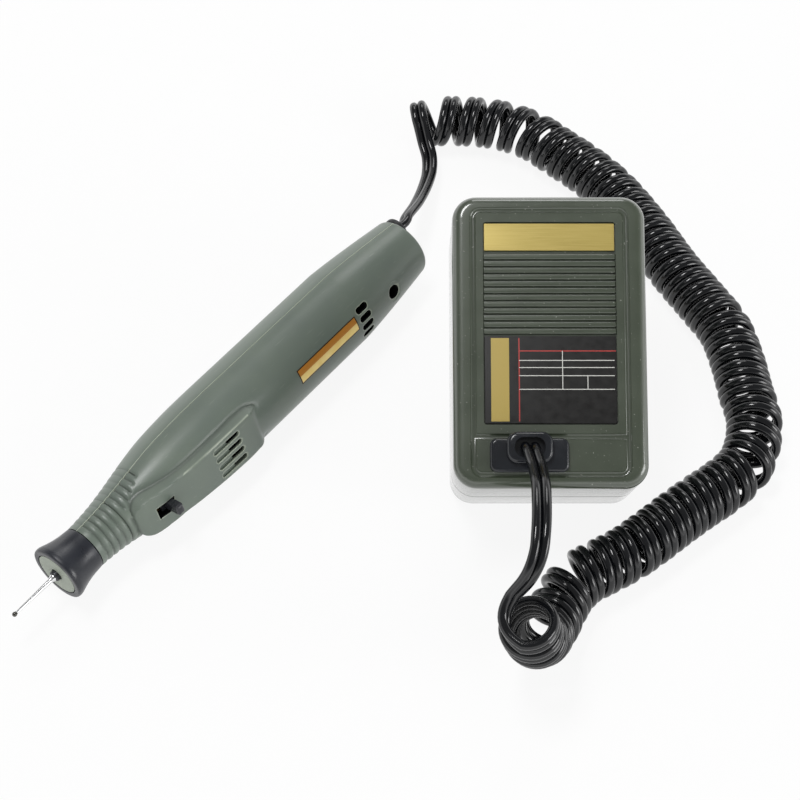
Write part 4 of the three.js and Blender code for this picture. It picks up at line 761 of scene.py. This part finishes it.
# The openings reach in to the motor, and each cutter stands well over the surface
motor_reach, over = 10.4, 2
slots = []
for aside in spread(pad_vent_count, pad_vent_pitch):
    groove = lengthwise_slot(
        "groove", pad_vent_front, pad_vent_length, pad_vent_width, pad_top - pad_vent_depth,
        pad_top + over)
    opening_front = pad_vent_front + pad_vent_length - pad_vent_open
    opening = lengthwise_slot(
        "opening", opening_front, pad_vent_open, pad_vent_width, motor_reach, pad_top + over)
    for cutter in (groove, opening):
        cutter.data.transform(Matrix.Translation((0, aside, 0)))
    slots += [groove, opening]
window_corner, window_floor = 0.35, 6.4
window = slab(
    "window", window_front, window_front + window_length, -window_half, window_half,
    window_corner, window_floor, pad_top + over)
pillar_top, pillar_wall, recess_floor = 12.2, 1.2, 1.5
pillar = upright("pillar", screw_x, 0, seam_half, pillar_top, screw_recess + pillar_wall)
recess = upright("recess", screw_x, 0, recess_floor, belly_radius + over, screw_recess)
bush_radius, bush_front, bush_back = 4.1, 155, 170
grommet_holes = []
for _ in range(2):
    hole = turned("grommet_hole", [(bush_front, bush_radius, 0), (bush_back, bush_radius, 0)])
    hole.data.transform(Matrix.Translation((0, grommet_y, grommet_z)))
    grommet_holes.append(hole)
rear_vents = [
    lengthwise_slot(
        "rear_vent", rear_vent_front, rear_vent_length, rear_vent_width,
        belly_radius - shell_wall - 1, belly_radius + over, turn + half)
    for half in (0, math.pi) for turn in spread(rear_vent_count, rear_vent_pitch, rear_vent_turn)
]
combine(switch_side, [pillar], "UNION")
switch_cuts = [*slots, window, recess, grommet_holes[0], *rear_vents[:rear_vent_count]]
combine(switch_side, switch_cuts, "DIFFERENCE")
combine(plain_side, [grommet_holes[1], *rear_vents[rear_vent_count:]], "DIFFERENCE")


def keep_marks(shell):
    """Keeps at each point of the mesh its share of painted shade and of painted highlight."""
    flat = np.empty(len(shell.data.vertices) * 3)
    shell.data.vertices.foreach_get("co", flat)
    x, y, z = flat.reshape(-1, 3).T
    turn = np.arctan2(y, z)
    radius, hollow, pad_edge_highlight = shaped_radius(x, turn)
    # Painted highlight round the rims of the openings
    rim_highlight = np.clip(1 - np.abs(opening_distance(x, turn, radius)) / rim_width, 0, 1)
    outside = (np.abs(np.hypot(y, z) - radius) < 2 * rim_drop) & (x > neck_start)
    marks = {
        "groove_shade": np.clip(hollow, 0, 1) * outside, "edge_highlight": np.maximum(rim_highlight, pad_edge_highlight) * outside}
    for name, values in marks.items():
        kept = shell.data.attributes.new(name, "FLOAT", "POINT")
        kept.data.foreach_set("value", values.astype(np.float32))


keep_marks(switch_side)
keep_marks(plain_side)

# The texture scatters light, so the sheen is broad, and fine scuffs show paler. The rims of the
# openings, the pad's edge and the seam get a painted highlight. The texture's grain is drawn at 0.35
# mm, coarser than the real one.
grain_size, patch_size = 0.35, 14
scuff_length, scuff_width = 7, 0.5
housing_abs, place = uneven_finish(
    "textured_grey_green_abs", pen_frame, {"IOR": 1.53}, ("66706a", "747f72"), (0.3, 0.4),
    patch_size)
add_skin(housing_abs, place, grain_size, strength=0.25)
stretched = add_node(housing_abs, "ShaderNodeMapping", {
    "Vector": place, "Rotation": (0.3, 0, 0.5),
    "Scale": (1 / scuff_length, 1 / scuff_width, 1 / scuff_width)})
scuffs = add_node(housing_abs, "ShaderNodeTexNoise", {
    "Vector": stretched.outputs["Vector"], "Scale": 1, "Detail": 3})
scuffed = add_node(housing_abs, "ShaderNodeMapRange", {
    "Value": scuffs.outputs["Fac"], "From Min": 0.66, "From Max": 0.78,
    "To Min": 0, "To Max": 0.35})
lay_over(housing_abs, scuffed.outputs["Result"], "a3ab9d")

groove_shade_share, highlight_share = 0.75, 0.8
# Painted shade: the grooves and the valley beside the pad are darkened where shade falls in them.
groove_shade = add_node(housing_abs, "ShaderNodeAttribute", {}, attribute_name="groove_shade").outputs["Fac"]
groove_shading = add_node(housing_abs, "ShaderNodeMath", {0: groove_shade, 1: groove_shade_share}, operation="MULTIPLY")
lay_over(housing_abs, groove_shading.outputs[0], "3a423b")

# A painted highlight runs as a pale line just on the plain side of the seam, and joins the painted
# highlights on the openings' rims and the pad's edge.
seam_highlight_low, seam_highlight_high = -0.26, 0.02
edge_highlight = add_node(housing_abs, "ShaderNodeAttribute", {}, attribute_name="edge_highlight").outputs["Fac"]
height = add_node(housing_abs, "ShaderNodeSeparateXYZ", {0: place}).outputs["Z"]
seam_highlight = within(housing_abs, height, seam_highlight_low, seam_highlight_high)
highlight_mask = add_node(housing_abs, "ShaderNodeMath", {0: edge_highlight, 1: seam_highlight}, operation="MAXIMUM")
highlight_amount = add_node(
    housing_abs, "ShaderNodeMath", {0: highlight_mask.outputs[0], 1: highlight_share}, operation="MULTIPLY")
lay_over(housing_abs, highlight_amount.outputs[0], "bcc5b2")

fix_in_place(
    switch_side, "switch_side_housing", pen_frame, housing_abs, "body",
    "switch_side_shell")
fix_in_place(
    plain_side, "plain_side_housing", pen_frame, housing_abs, "body",
    "plain_side_shell")

# Painted shade: the inside of the shells, the walls of the openings and faces sunk deep under the
# outline take a near-black material where shade falls.
shade_depth, window_shade_depth, shade_rim, seam_clear, shade_patch_size = 0.55, 1.5, 0.1, 0.5, 1
painted_shade_black, _ = uneven_finish(
    "painted_shade_black", pen_frame, {"Specular IOR Level": 0.1}, ("050607", "111214"), (0.9, 0.9),
    shade_patch_size, detail=4)
for shell in (switch_side, plain_side):
    shell.data.materials.append(painted_shade_black)
    for face in shell.data.polygons:
        x, y, z = pen_frame.inverted() @ face.center
        from_axis = math.hypot(y, z)
        along = window_front - shade_rim < x < window_front + window_length + shade_rim
        in_window = along and abs(y) < window_half + shade_rim and z > spigot_radius
        off_seam = abs(z) > seam_clear and x > neck_start
        deep = off_seam and from_axis < plain_outline(x) - shade_depth
        if deep or (in_window and from_axis < pad_top - window_shade_depth):
            face.material_index = 1

# Nose
# A flared collar of soft black plastic screws over the spigot of the housing and keeps the
# fingers off the bit. A pale moulded disc closes the front bearing inside it.
collar_back, collar_bore = neck_start - 0.15, spigot_radius + 0.3
collar = turned("collar", [
    (0, 9.25, 0.75), (1.6, 9.3, 0.5), (5.3, 8.15, 1.6), (8.4, 7.62, 1.5), (collar_back, 7.35, 0.3),
    (collar_back, collar_bore, 0), (spigot_start, collar_bore, 0), (spigot_start, 7.3, 0),
    (0, 7.3, 0.2)], sides=96, hollow=True)
cap = turned(
    "cap", [(0, 7.05, 0.25), (2.5, 7.05, 0), (2.5, 1.95, 0), (0, 1.95, 0.25)],
    sides=96, hollow=True)
collar_rubber = moulded_plastic(
    "satin_black_elastomer", pen_frame, ("1c1e24", "2c2f37"), (0.26, 0.4), 6, 0.4, 0.3)
cap_abs = moulded_plastic(
    "pale_grey_green_abs", pen_frame, ("949c8f", "a2aa9c"), (0.45, 0.55), 5, 0.35, 0.25)
fix_in_place(
    collar, "flared_collar", pen_frame, collar_rubber, "body", "grip_collar")
fix_in_place(cap, "nose_disc", pen_frame, cap_abs, "body", "nose_bearing_cap")

# Collet and bit
# A blackened steel collet grips the shank of a ball-ended steel burr. Both spin with the spindle.
# The burr's shank is ground, and the ball is cut with fine teeth.
collet = turned(
    "collet", [(-1.2, 1.7, 0.3), (9, 1.7, 0), (9, 1.3, 0), (-1.2, 1.3, 0)], sides=48, hollow=True)
bit_reach, ball_radius, tip_radius, shank_radius, neck_radius = 17.9, 0.75, 0.45, 1.175, 0.8
ball_middle = ball_radius - bit_reach
ball = [
    (ball_middle - ball_radius * math.cos(a), ball_radius * math.sin(a), 0)
    for a in np.radians([6, 25, 45, 65, 90, 115, 135])]
shank = [
    (ball_middle + 1.2, tip_radius, 0), (-2.5, neck_radius, 0.4), (-1.5, shank_radius, 0.2),
    (8.7, shank_radius, 0)]
bit = turned("bit", ball + shank, sides=48)
ground_steel = worked_steel(
    "ground_tool_steel", pen_frame, ("cfd0d1", "efefef"), (0.16, 0.3), 0.3)
place = in_millimetres(ground_steel, pen_frame)
along = add_node(ground_steel, "ShaderNodeSeparateXYZ", {0: place}).outputs["X"]
lay_over(ground_steel, within(ground_steel, along, -bit_reach, ball_middle + ball_radius), "5c5b57")
black_steel = worked_steel("blackened_steel", pen_frame, ("3c3d40", "55565a"), (0.35, 0.5), 0.4)
fix_in_place(collet, "collet_nose", pen_frame, black_steel, "spindle_set", "collet")
fix_in_place(bit, "ball_burr", pen_frame, ground_steel, "spindle_set", "engraving_bit")

# Switch knob
# A black acetal knob stands out of the window in the pad and slides along it. It is moulded in
# one piece with the flat plate that runs under the window.
knob_front, knob_back, knob_half = 36.4, 39.0, 1.8
knob_low, knob_top, knob_corner, knob_edge = 9.2, 16.4, 0.5, 0.9
knob = slab(
    "knob", knob_front, knob_back, -knob_half, knob_half, knob_corner, knob_low, knob_top,
    top_edge=knob_edge)
plate_half, plate_low, plate_high, plate_corner = 2.6, 8.9, 9.5, 0.3
plate = slab(
    "plate", knob_front - 1.2, knob_back + 1.2, -plate_half, plate_half, plate_corner,
    plate_low, plate_high)
combine(knob, [plate], "UNION")
knob_acetal = moulded_plastic(
    "worn_black_acetal", pen_frame, ("1b1c1f", "303238"), (0.22, 0.36), 2.5, 0.4, 0.2)
fix_in_place(knob, "slide_knob", pen_frame, knob_acetal, "knob", "switch_knob")

# Foil label
# A strip of gold-coloured foil, printed with a darker upper band and a thin dark border, glued
# along the belly. It carries nothing else.
label_front, label_length, label_border = 96, 28, 0.35
label_half, label_middle = math.radians(11), math.radians(10)
label_inner, label_outer, label_steps = 13.5, 13.66, 17
label_angles = np.linspace(label_middle - label_half, label_middle + label_half, label_steps)
outline = [(label_outer, a) for a in label_angles] + [(label_inner, a) for a in label_angles[::-1]]
label = loft("label", [
    [(x, r * math.sin(a), r * math.cos(a)) for r, a in outline]
    for x in (label_front, label_front + label_length)])

crumple_size, crumple_strength, crumple_depth = 3.33, 0.2, 0.1
label_foil, place = uneven_finish(
    "gold_foil", pen_frame, {"Metallic": 0.25}, ("f2c862", "ffe7a0"), (0.28, 0.28), crumple_size,
    detail=3)
add_skin(label_foil, place, crumple_size, crumple_strength, crumple_depth, detail=3)
axes = add_node(label_foil, "ShaderNodeSeparateXYZ", {0: place}).outputs
turn = add_node(
    label_foil, "ShaderNodeMath", {0: axes["Y"], 1: axes["Z"]}, operation="ARCTAN2").outputs[0]
band_edge = label_middle + 0.01
lay_over(label_foil, within(label_foil, turn, band_edge, band_edge + label_half), "cf8a38")
half_turn = label_half - label_border / label_outer
field = in_field(
    label_foil, axes["X"], turn, label_front + label_border,
    label_front + label_length - label_border, label_middle - half_turn, label_middle + half_turn)
border = add_node(label_foil, "ShaderNodeMath", {0: 1, 1: field}, operation="SUBTRACT")
lay_over(label_foil, border.outputs[0], "3a2410")
fix_in_place(label, "side_label", pen_frame, label_foil, "body", "pen_label")

# Grommet
# A black rubber bush with a flange on each side of the rear wall. The flex passes through its
# oval hole, which holds it so that it can't be pulled out.
grommet = turned("grommet", [
    (158, 3.8, 0), (158, 4.4, 0.2), (159.4, 4.4, 0.2), (159.4, 3.8, 0), (161.75, 3.8, 0),
    (161.75, 4.4, 0.3), (163.7, 4.4, 0.8), (163.7, axis_gap, 0), (158, axis_gap, 0)], sides=64)
grommet.data.transform(Matrix.Translation((0, grommet_y, grommet_z)))
oval_half_width, oval_half_height, oval_corner = 3.1, 1.8, 1.75
oval = rounded_loop(
    -oval_half_width, oval_half_width, -oval_half_height, oval_half_height, oval_corner, 0,
    round_steps)
cosine, sine = math.cos(slot_turn), math.sin(slot_turn)
oval_hole = loft("oval_hole", [
    [(x, grommet_y + a * cosine - b * sine, grommet_z + a * sine + b * cosine) for a, b, _ in oval]
    for x in (bush_front, bush_back)])
combine(grommet, [oval_hole], "DIFFERENCE")
grommet_rubber = moulded_plastic(
    "black_rubber", pen_frame, ("191a1c", "26272a"), (0.42, 0.58), 3, 0.4, 0.3)
fix_in_place(
    grommet, "rear_bush", pen_frame, grommet_rubber, "body", "rear_grommet")

# Housing screw
# A small blackened pan-head screw with a cross recess, deep in its pillar.
screw_edge = 0.35
arm_share, arm_width_share, arm_depth_share, arm_round_share = 0.55, 0.11, 0.6, 0.9


def cross_screw(name, head, head_height, shank, depth, head_top):
    """An upright screw whose head's top is at head_top and whose tip is depth below zero."""
    body = upright(name, 0, 0, head_top - head_height, head_top, head, edge=screw_edge)
    stem = upright("stem", 0, 0, -depth, head_top - head_height / 2, shank)
    combine(body, [stem], "UNION")
    arm_length, arm_width = head * arm_share, head * arm_width_share
    arm_floor = head_top - head_height * arm_depth_share
    arms = [
        slab("arm", -x, x, -y, y, arm_width * arm_round_share, arm_floor, head_top + over, steps=3)
        for x, y in ((arm_length, arm_width), (arm_width, arm_length))]
    return combine(body, arms, "DIFFERENCE")


housing_screw = cross_screw(
    "housing_screw_fine", head=2.1, head_height=1.8, shank=1, depth=5, head_top=3.6)
housing_screw.data.transform(Matrix.Translation((screw_x, 0, 0)))
fix_in_place(
    housing_screw, "pen_screw", pen_frame, black_steel, "body", "housing_screw")

# Supply case
# Two deep halves of dark olive-grey polystyrene, gloss moulded and rubbed dull by handling. The
# front one has a sunk field with finger ribs and a fine groove round it; the rear one has the plug.
case_width, case_height, case_depth, case_seam = 56.6, 86.5, 43.5, 20
case_corner, face_edge, back_edge, case_wall = 7, 3, 1, 2.2
seam_gap, seam_chamfer = 0.15, 0.25
field_half, field_bottom, field_top, field_depth = 19.4, 18.3, 78.4, 1
groove_half, groove_bottom, groove_top, groove_corner = 22.4, 3.8, 82, 2.4
bar_y, groove_width, line_depth = 14.8, 1.9, 0.6
rib_count, rib_start, rib_pitch, rib_width = 12, 45, 2.02, 1.72
groove_bore = (groove_width**2 / 4 + line_depth**2) / (2 * line_depth)


def swept_cutter(name, path, closed, radius, sides=16):
    """A round cutter along flat points at one height."""
    points, up = np.array(path, float), np.array([0, 0, 1])
    ahead = np.gradient(points, axis=0)
    if closed:
        ahead = np.roll(points, -1, axis=0) - np.roll(points, 1, axis=0)
    aside = np.cross(unit(ahead), up)
    angles = np.linspace(0, 2 * math.pi, sides, endpoint=False)
    loops = [points + radius * (aside * math.cos(a) + up * math.sin(a)) for a in angles]
    return loft(name, np.stack(loops, axis=1), closed_tube_faces if closed else tube_faces)


def case_loop(inset, z, steps=12):
    """The outline of the case, moved in by the inset."""
    half, round_by = case_width / 2 - inset, case_corner - inset
    return rounded_loop(-half, half, inset, case_height - inset, round_by, z, steps)


def edge_loops(level, edge, sign, steps=8):
    """Outlines that round the edge between the sides and a face at this level."""
    loops = []
    for turn in np.linspace(0, math.pi / 2, steps):
        inset, drop = edge * (1 - math.cos(turn)), edge * (1 - math.sin(turn))
        loops.append(case_loop(inset, level + sign * drop))
    return loops


seam_above, seam_below = case_seam + seam_gap, case_seam - seam_gap
cover = loft("cover", [
    case_loop(seam_chamfer, seam_above), case_loop(0, seam_above + seam_chamfer),
    *edge_loops(case_depth, face_edge, -1)])
cavity_top, cavity_slope = case_depth - field_depth - case_wall, 1.5
hollow = loft("hollow", [
    case_loop(case_wall, case_seam - over), case_loop(case_wall, cavity_top - cavity_slope),
    case_loop(case_wall + cavity_slope, cavity_top)])
groove_level = case_depth + groove_bore - line_depth
frame_path = rounded_loop(
    -groove_half, groove_half, groove_bottom, groove_top, groove_corner, groove_level, round_steps)
frame_cut = swept_cutter("frame_cut", frame_path, True, groove_bore)
bar_path = [(x, bar_y, groove_level) for x in np.linspace(-groove_half, groove_half, 9)]
bar_cut = swept_cutter("bar_cut", bar_path, False, groove_bore)
field_floor, field_corner = case_depth - field_depth, 1
field_cut = slab(
    "field_cut", -field_half, field_half, field_bottom, field_top, field_corner, field_floor,
    case_depth + over)
neck_left, neck_right, neck_low, neck_high, neck_corner = -10.7, -2.1, 8.35, 14.15, 0.5
neck_cut = slab(
    "neck_cut", neck_left, neck_right, neck_low, neck_high, neck_corner, cavity_top - over,
    case_depth + over)
combine(cover, [hollow, frame_cut, bar_cut, field_cut, neck_cut], "DIFFERENCE")
rib_bite, rib_root, rib_corner, rib_edge, rib_drop = 0.1, 0.5, 0.5, 0.6, 0.1
ribs = []
for k in range(rib_count):
    low = rib_start + k * rib_pitch
    ribs.append(slab(
        "rib", -field_half - rib_bite, field_half + rib_bite, low, low + rib_width, rib_corner,
        field_floor - rib_root, case_depth - rib_drop, top_edge=rib_edge, steps=3))
combine(cover, ribs, "UNION")

rear = loft("rear", [
    *edge_loops(0, back_edge, 1)[::-1], case_loop(0, seam_below - seam_chamfer),
    case_loop(seam_chamfer, seam_below)])
rear_hollow = loft(
    "rear_hollow", [case_loop(case_wall, case_wall), case_loop(case_wall, case_seam + over)])
combine(rear, [rear_hollow], "DIFFERENCE")
boss_y, boss_half_width, boss_half_height, boss_height = 52.2, 15, 7, 6.5
boss_corner, boss_root, boss_edge = 5, 1, 0.8
boss = slab(
    "boss", -boss_half_width, boss_half_width, boss_y - boss_half_height,
    boss_y + boss_half_height, boss_corner, -boss_height, boss_root, bottom_edge=boss_edge,
    steps=10)
combine(rear, [boss], "UNION")
pin_x, pin_radius, pin_length, pin_root, pin_fit = 9.5, 2, 19, 6, 0.2
screw_places = [(14, 8.5), (0, 78)]
screw_head, screw_head_height, screw_level, screw_fit = 2.3, 2, 2.3, 0.3
well_top, well_wall, well_floor, shank_bore = 5, 1.8, 2.6, 1.5
wells = [upright("well", x, y, 0, well_top, screw_head + well_wall) for x, y in screw_places]
combine(rear, wells, "UNION")
holes = [upright("hole", x, y, -1, well_floor, screw_head + screw_fit) for x, y in screw_places]
holes += [upright("shank_hole", x, y, -1, well_top + 1, shank_bore) for x, y in screw_places]
for side in (-1, 1):
    holes.append(upright(
        "pin_hole", side * pin_x, boss_y, -boss_height - over, case_wall + over,
        pin_radius + pin_fit))
combine(rear, holes, "DIFFERENCE")

# Polystyrene keeps a fair gloss, so windows and lamps show as soft streaks at its edges. The
# rubbed patches are about 11 mm across, and pale dust lies in specks of about 0.7 mm.
rub_size, dust_size = 11, 0.7
case_plastic, place = uneven_finish(
    "rubbed_olive_polystyrene", supply_frame,
    {"IOR": 1.59, "Coat Weight": 1, "Coat Roughness": 0.07},
    ("353d2f", "424b3b"), (0.3, 0.42), rub_size, detail=6)
dust = add_node(case_plastic, "ShaderNodeTexNoise", {
    "Vector": place, "Scale": 1 / dust_size, "Detail": 1})
specks = add_node(case_plastic, "ShaderNodeMapRange", {
    "Value": dust.outputs["Fac"], "From Min": 0.73, "From Max": 0.79, "To Min": 0, "To Max": 0.7})
lay_over(case_plastic, specks.outputs["Result"], "a9aca2")
fix_in_place(
    cover, "supply_cover", supply_frame, case_plastic, "body",
    "supply_front_cover")
fix_in_place(
    rear, "supply_back", supply_frame, case_plastic, "body",
    "supply_rear_shell")

# Plates on the supply
# The upper plate is bare brushed gold foil. The rating plate is anodised black and printed only
# with its plain gold band and its red and white rules.
plate_half, plate_low, plate_high, plate_corner, plate_edge = 19.1, 42.8, 43.3, 0.2, 0.12
name_low, name_high, rating_low, rating_high = 69.9, 78, 18.7, 44.4
name_plate, rating = [
    slab(name, -plate_half, plate_half, y0, y1, plate_corner, plate_low, plate_high,
         top_edge=plate_edge)
    for name, y0, y1 in (
        ("name_plate", name_low, name_high), ("rating", rating_low, rating_high))]
stroke_length, stroke_width = 8.333, 0.1667
gold_plate, _ = uneven_finish(
    "brushed_gold_plate", supply_frame, {"Metallic": 0.35}, ("b19c50", "c9b66e"), (0.32, 0.48),
    (stroke_length, stroke_width, 1), detail=4)
fix_in_place(
    name_plate, "gold_name_plate", supply_frame, gold_plate, "body",
    "supply_name_plate")

wear_size = 2
rating_print, place = uneven_finish(
    "printed_black_plate", supply_frame, {"IOR": 1.5}, ("0c0b0b", "191817"), (0.35, 0.5),
    wear_size, detail=6)
axes = add_node(rating_print, "ShaderNodeSeparateXYZ", {0: place}).outputs
white, red, gold_ink = "cfcfca", "a83b37", "b09a50"
half_white, half_red = 0.12, 0.17
print_low, print_high, band_left, band_right, red_left, red_y = 19.3, 43.8, -17.25, -12, -9.1, 40
rule_right, lowest_rule, low_rule = 18.6, 28.7, 32.7
bands = [
    (band_left, band_right, print_low, print_high, gold_ink),
    (red_left - half_red, red_left + half_red, print_low, print_high, red),
    (red_left, plate_half, red_y - half_red, red_y + half_red, red),
]
for y in (37.2, 35.1, low_rule, lowest_rule):
    bands.append((red_left, rule_right, y - half_white, y + half_white, white))
for x, top in ((3.5, red_y), (10.8, low_rule)):
    bands.append((x - half_white, x + half_white, lowest_rule, top, white))
for x0, x1, y0, y1, ink in bands:
    band = in_field(rating_print, axes["X"], axes["Y"], x0, x1, y0, y1)
    lay_over(rating_print, band, ink)
fix_in_place(
    rating, "bare_rating_plate", supply_frame, rating_print, "body",
    "rating_plate")

# Cord block
# A black moulding clipped into the face, with a low foot and a raised mouth for the flex.
block_low = 43.8
foot = slab("foot", -17.8, 5, 4.4, 14.2, 2, block_low, 45.5, top_edge=1)
stub = slab("stub", -13.1, 0.3, 6.7, 15.8, 3.2, block_low, 48, top_edge=1.3)
neck = slab("neck", -10.4, -2.4, 8.65, 13.85, 0.4, 38.9, 44.5)
mouth = slab("mouth", -10.8, -2, 8.35, 14.15, 2.6, 44.8, 49)
combine(foot, [stub, neck], "UNION")
combine(foot, [mouth], "DIFFERENCE")
block_plastic = moulded_plastic(
    "satin_black_nylon", supply_frame, ("15171b", "24272c"), (0.12, 0.26), 5, 0.4, 0.15)
fix_in_place(foot, "flex_block", supply_frame, block_plastic, "body", "cord_block")

# Mains pins and the supply's screws
# Nickel-plated brass pins, turned with a round tip and moulded into the rear half. Two steel
# pan-head screws hold the halves together from behind.
pin_brass = worked_steel("plated_brass", supply_frame, ("b9ac8c", "d8cdb0"), (0.18, 0.3), 0.4)
plated_steel = worked_steel(
    "zinc_plated_steel", supply_frame, ("8b8d90", "b4b6b8"), (0.3, 0.42), 0.3)
pin_tip, pin_tip_edge = -boss_height - pin_length, 0.9
for side, node in ((-1, "mains_pin_left"), (1, "mains_pin_right")):
    pin = turned("pin", [
        (pin_tip, axis_gap, 0), (pin_tip, pin_radius, pin_tip_edge), (pin_root, pin_radius, 0),
        (pin_root, axis_gap, 0)], sides=64)
    stand_up(pin, side * pin_x, boss_y)
    fix_in_place(pin, node + "_round", supply_frame, pin_brass, "body", node)
for (x, y), node in zip(screw_places, ("supply_screw_lower", "supply_screw_upper")):
    screw = cross_screw(
        "screw", screw_head, screw_head_height, shank=1.2, depth=11.7, head_top=screw_head_height)
    upside_down = Matrix.Rotation(math.pi, 4, "X")
    screw.data.transform(Matrix.Translation((x, y, screw_level)) @ upside_down)
    fix_in_place(screw, node + "_cross", supply_frame, plated_steel, "body", node)

# Works inside
# Everything inside the pen and the supply keeps the shape of its solid and takes the finish of
# its real material, by kind.
inner_metals = {
    "steel": ("bright_steel", ("9b9da0", "c7c9cb"), (0.22, 0.36), 0.5),
    "dark_steel": ("silicon_steel", ("44464a", "6a6c70"), (0.4, 0.55), 0.4),
    "brass": ("turned_brass", ("a98845", "c9a862"), (0.25, 0.4), 0.5),
    "copper": ("enamelled_copper", ("8f4a26", "b8683c"), (0.3, 0.45), 0.3),
}
inner_plastics = {
    "black_plastic": ("black_phenolic", ("1c1c1e", "29292b"), (0.4, 0.55), 4),
    "pale_plastic": ("white_nylon", ("c9c5b6", "dbd7c9"), (0.45, 0.6), 4),
    "red_plastic": ("red_brown_rubber", ("7a3324", "8f4130"), (0.5, 0.65), 4),
    "blue_plastic": ("blue_sleeve", ("24365c", "30466f"), (0.35, 0.5), 4),
    "orange_plastic": ("orange_epoxy", ("7a4a22", "93592a"), (0.35, 0.5), 4),
    "board_laminate": ("brown_paper_laminate", ("75632f", "8c7a42"), (0.5, 0.65), 6),
    "wire_plastic": ("red_wire_pvc", ("85241d", "9c3128"), (0.35, 0.5), 4),
}
inner_grain, inner_strength = 0.4, 0.2
inner_finish = {}
for slot, (name, *looks) in inner_metals.items():
    inner_finish[slot] = worked_steel(name, pen_frame, *looks)
for slot, (name, *looks) in inner_plastics.items():
    inner_finish[slot] = moulded_plastic(name, pen_frame, *looks, inner_grain, inner_strength)
for part in frame["record"]["subparts"]:
    if part["material_slot"] in inner_finish:
        node = frame["nodes"][part["node"]]
        node.data.materials.clear()
        node.data.materials.append(inner_finish[part["material_slot"]])

# Studio
# A white sweep inside a tent of white cloth. The tent is bright round the sides and dimmer
# overhead, where the lens looks in, so that edges shine and faces toward it keep their colour.
floor_size = 4
floor_mesh = bpy.data.meshes.new("floor")
floor_corners = [
    (x * floor_size, y * floor_size, 0) for x, y in ((-1, -1), (1, -1), (1, 1), (-1, 1))]
floor_mesh.from_pydata(floor_corners, [], [(0, 1, 2, 3)])
new_object("floor", floor_mesh)
paper, shader = new_material("white_paper_sweep", {"Roughness": 0.8, "Specular IOR Level": 0.1})
fibre = add_node(paper, "ShaderNodeTexNoise", {"Scale": 900, "Detail": 2})
tone = add_node(paper, "ShaderNodeMix", {
    0: fibre.outputs["Fac"], 6: linear("f8f8f8"), 7: linear("ffffff")}, data_type="RGBA")
paper.node_tree.links.new(tone.outputs[2], shader.inputs["Base Color"])

# The paper is lit up for the lens and for mirror-like surfaces, and still takes the shadows.
lit_share = 0.9
seen = add_node(paper, "ShaderNodeLightPath", {}).outputs
looked_at = seen["Is Camera Ray"]
for ray in ("Is Glossy Ray", "Is Transmission Ray"):
    looked_at = add_node(
        paper, "ShaderNodeMath", {0: looked_at, 1: seen[ray]}, operation="MAXIMUM").outputs[0]
glow_share = add_node(
    paper, "ShaderNodeMath", {0: looked_at, 1: lit_share}, operation="MULTIPLY").outputs[0]
glow = add_node(paper, "ShaderNodeEmission", {"Color": (1, 1, 1, 1), "Strength": 1})
lit_paper = add_node(paper, "ShaderNodeMixShader", {
    0: glow_share, 1: shader.outputs[0], 2: glow.outputs[0]}).outputs[0]
paper_surface = paper.node_tree.nodes["Material Output"].inputs["Surface"]
paper.node_tree.links.new(lit_paper, paper_surface)
floor_mesh.materials.append(paper)

world = bpy.data.worlds.new("studio")
bpy.context.scene.world = world
world.use_nodes = True
heading = add_node(world, "ShaderNodeTexCoord", {}).outputs["Generated"]
height = add_node(world, "ShaderNodeSeparateXYZ", {0: heading}).outputs["Z"]
side_light, overhead_light, dim_height = 1.7, 0.25, 0.55
tent = add_node(world, "ShaderNodeMapRange", {
    "Value": height, "From Min": 0, "From Max": dim_height,
    "To Min": side_light, "To Max": overhead_light}, interpolation_type="SMOOTHSTEP")
cloth = world.node_tree.nodes["Background"]
cloth.inputs["Color"].default_value = (1, 1, 1, 1)
world.node_tree.links.new(tent.outputs["Result"], cloth.inputs["Strength"])


def soft_lamp(name, place, size, power):
    """A soft box that hangs at the place, aims at the object, and has this size and power."""
    data = bpy.data.lights.new(name, "AREA")
    data.shape = "RECTANGLE"
    data.size, data.size_y = size
    data.energy = power
    lamp = new_object(name, data)
    lamp.location = place
    lamp.rotation_mode = "QUATERNION"
    lamp.rotation_quaternion = Vector(place).to_track_quat("Z", "Y")


soft_lamp("key", place=(-0.1, 0.25, 1.2), size=(0.45, 0.25), power=6)
soft_lamp("front", place=(0.35, -1, 0.4), size=(0.5, 0.4), power=4)
soft_lamp("fill", place=(0.8, 0.5, 0.8), size=(0.4, 0.4), power=2)
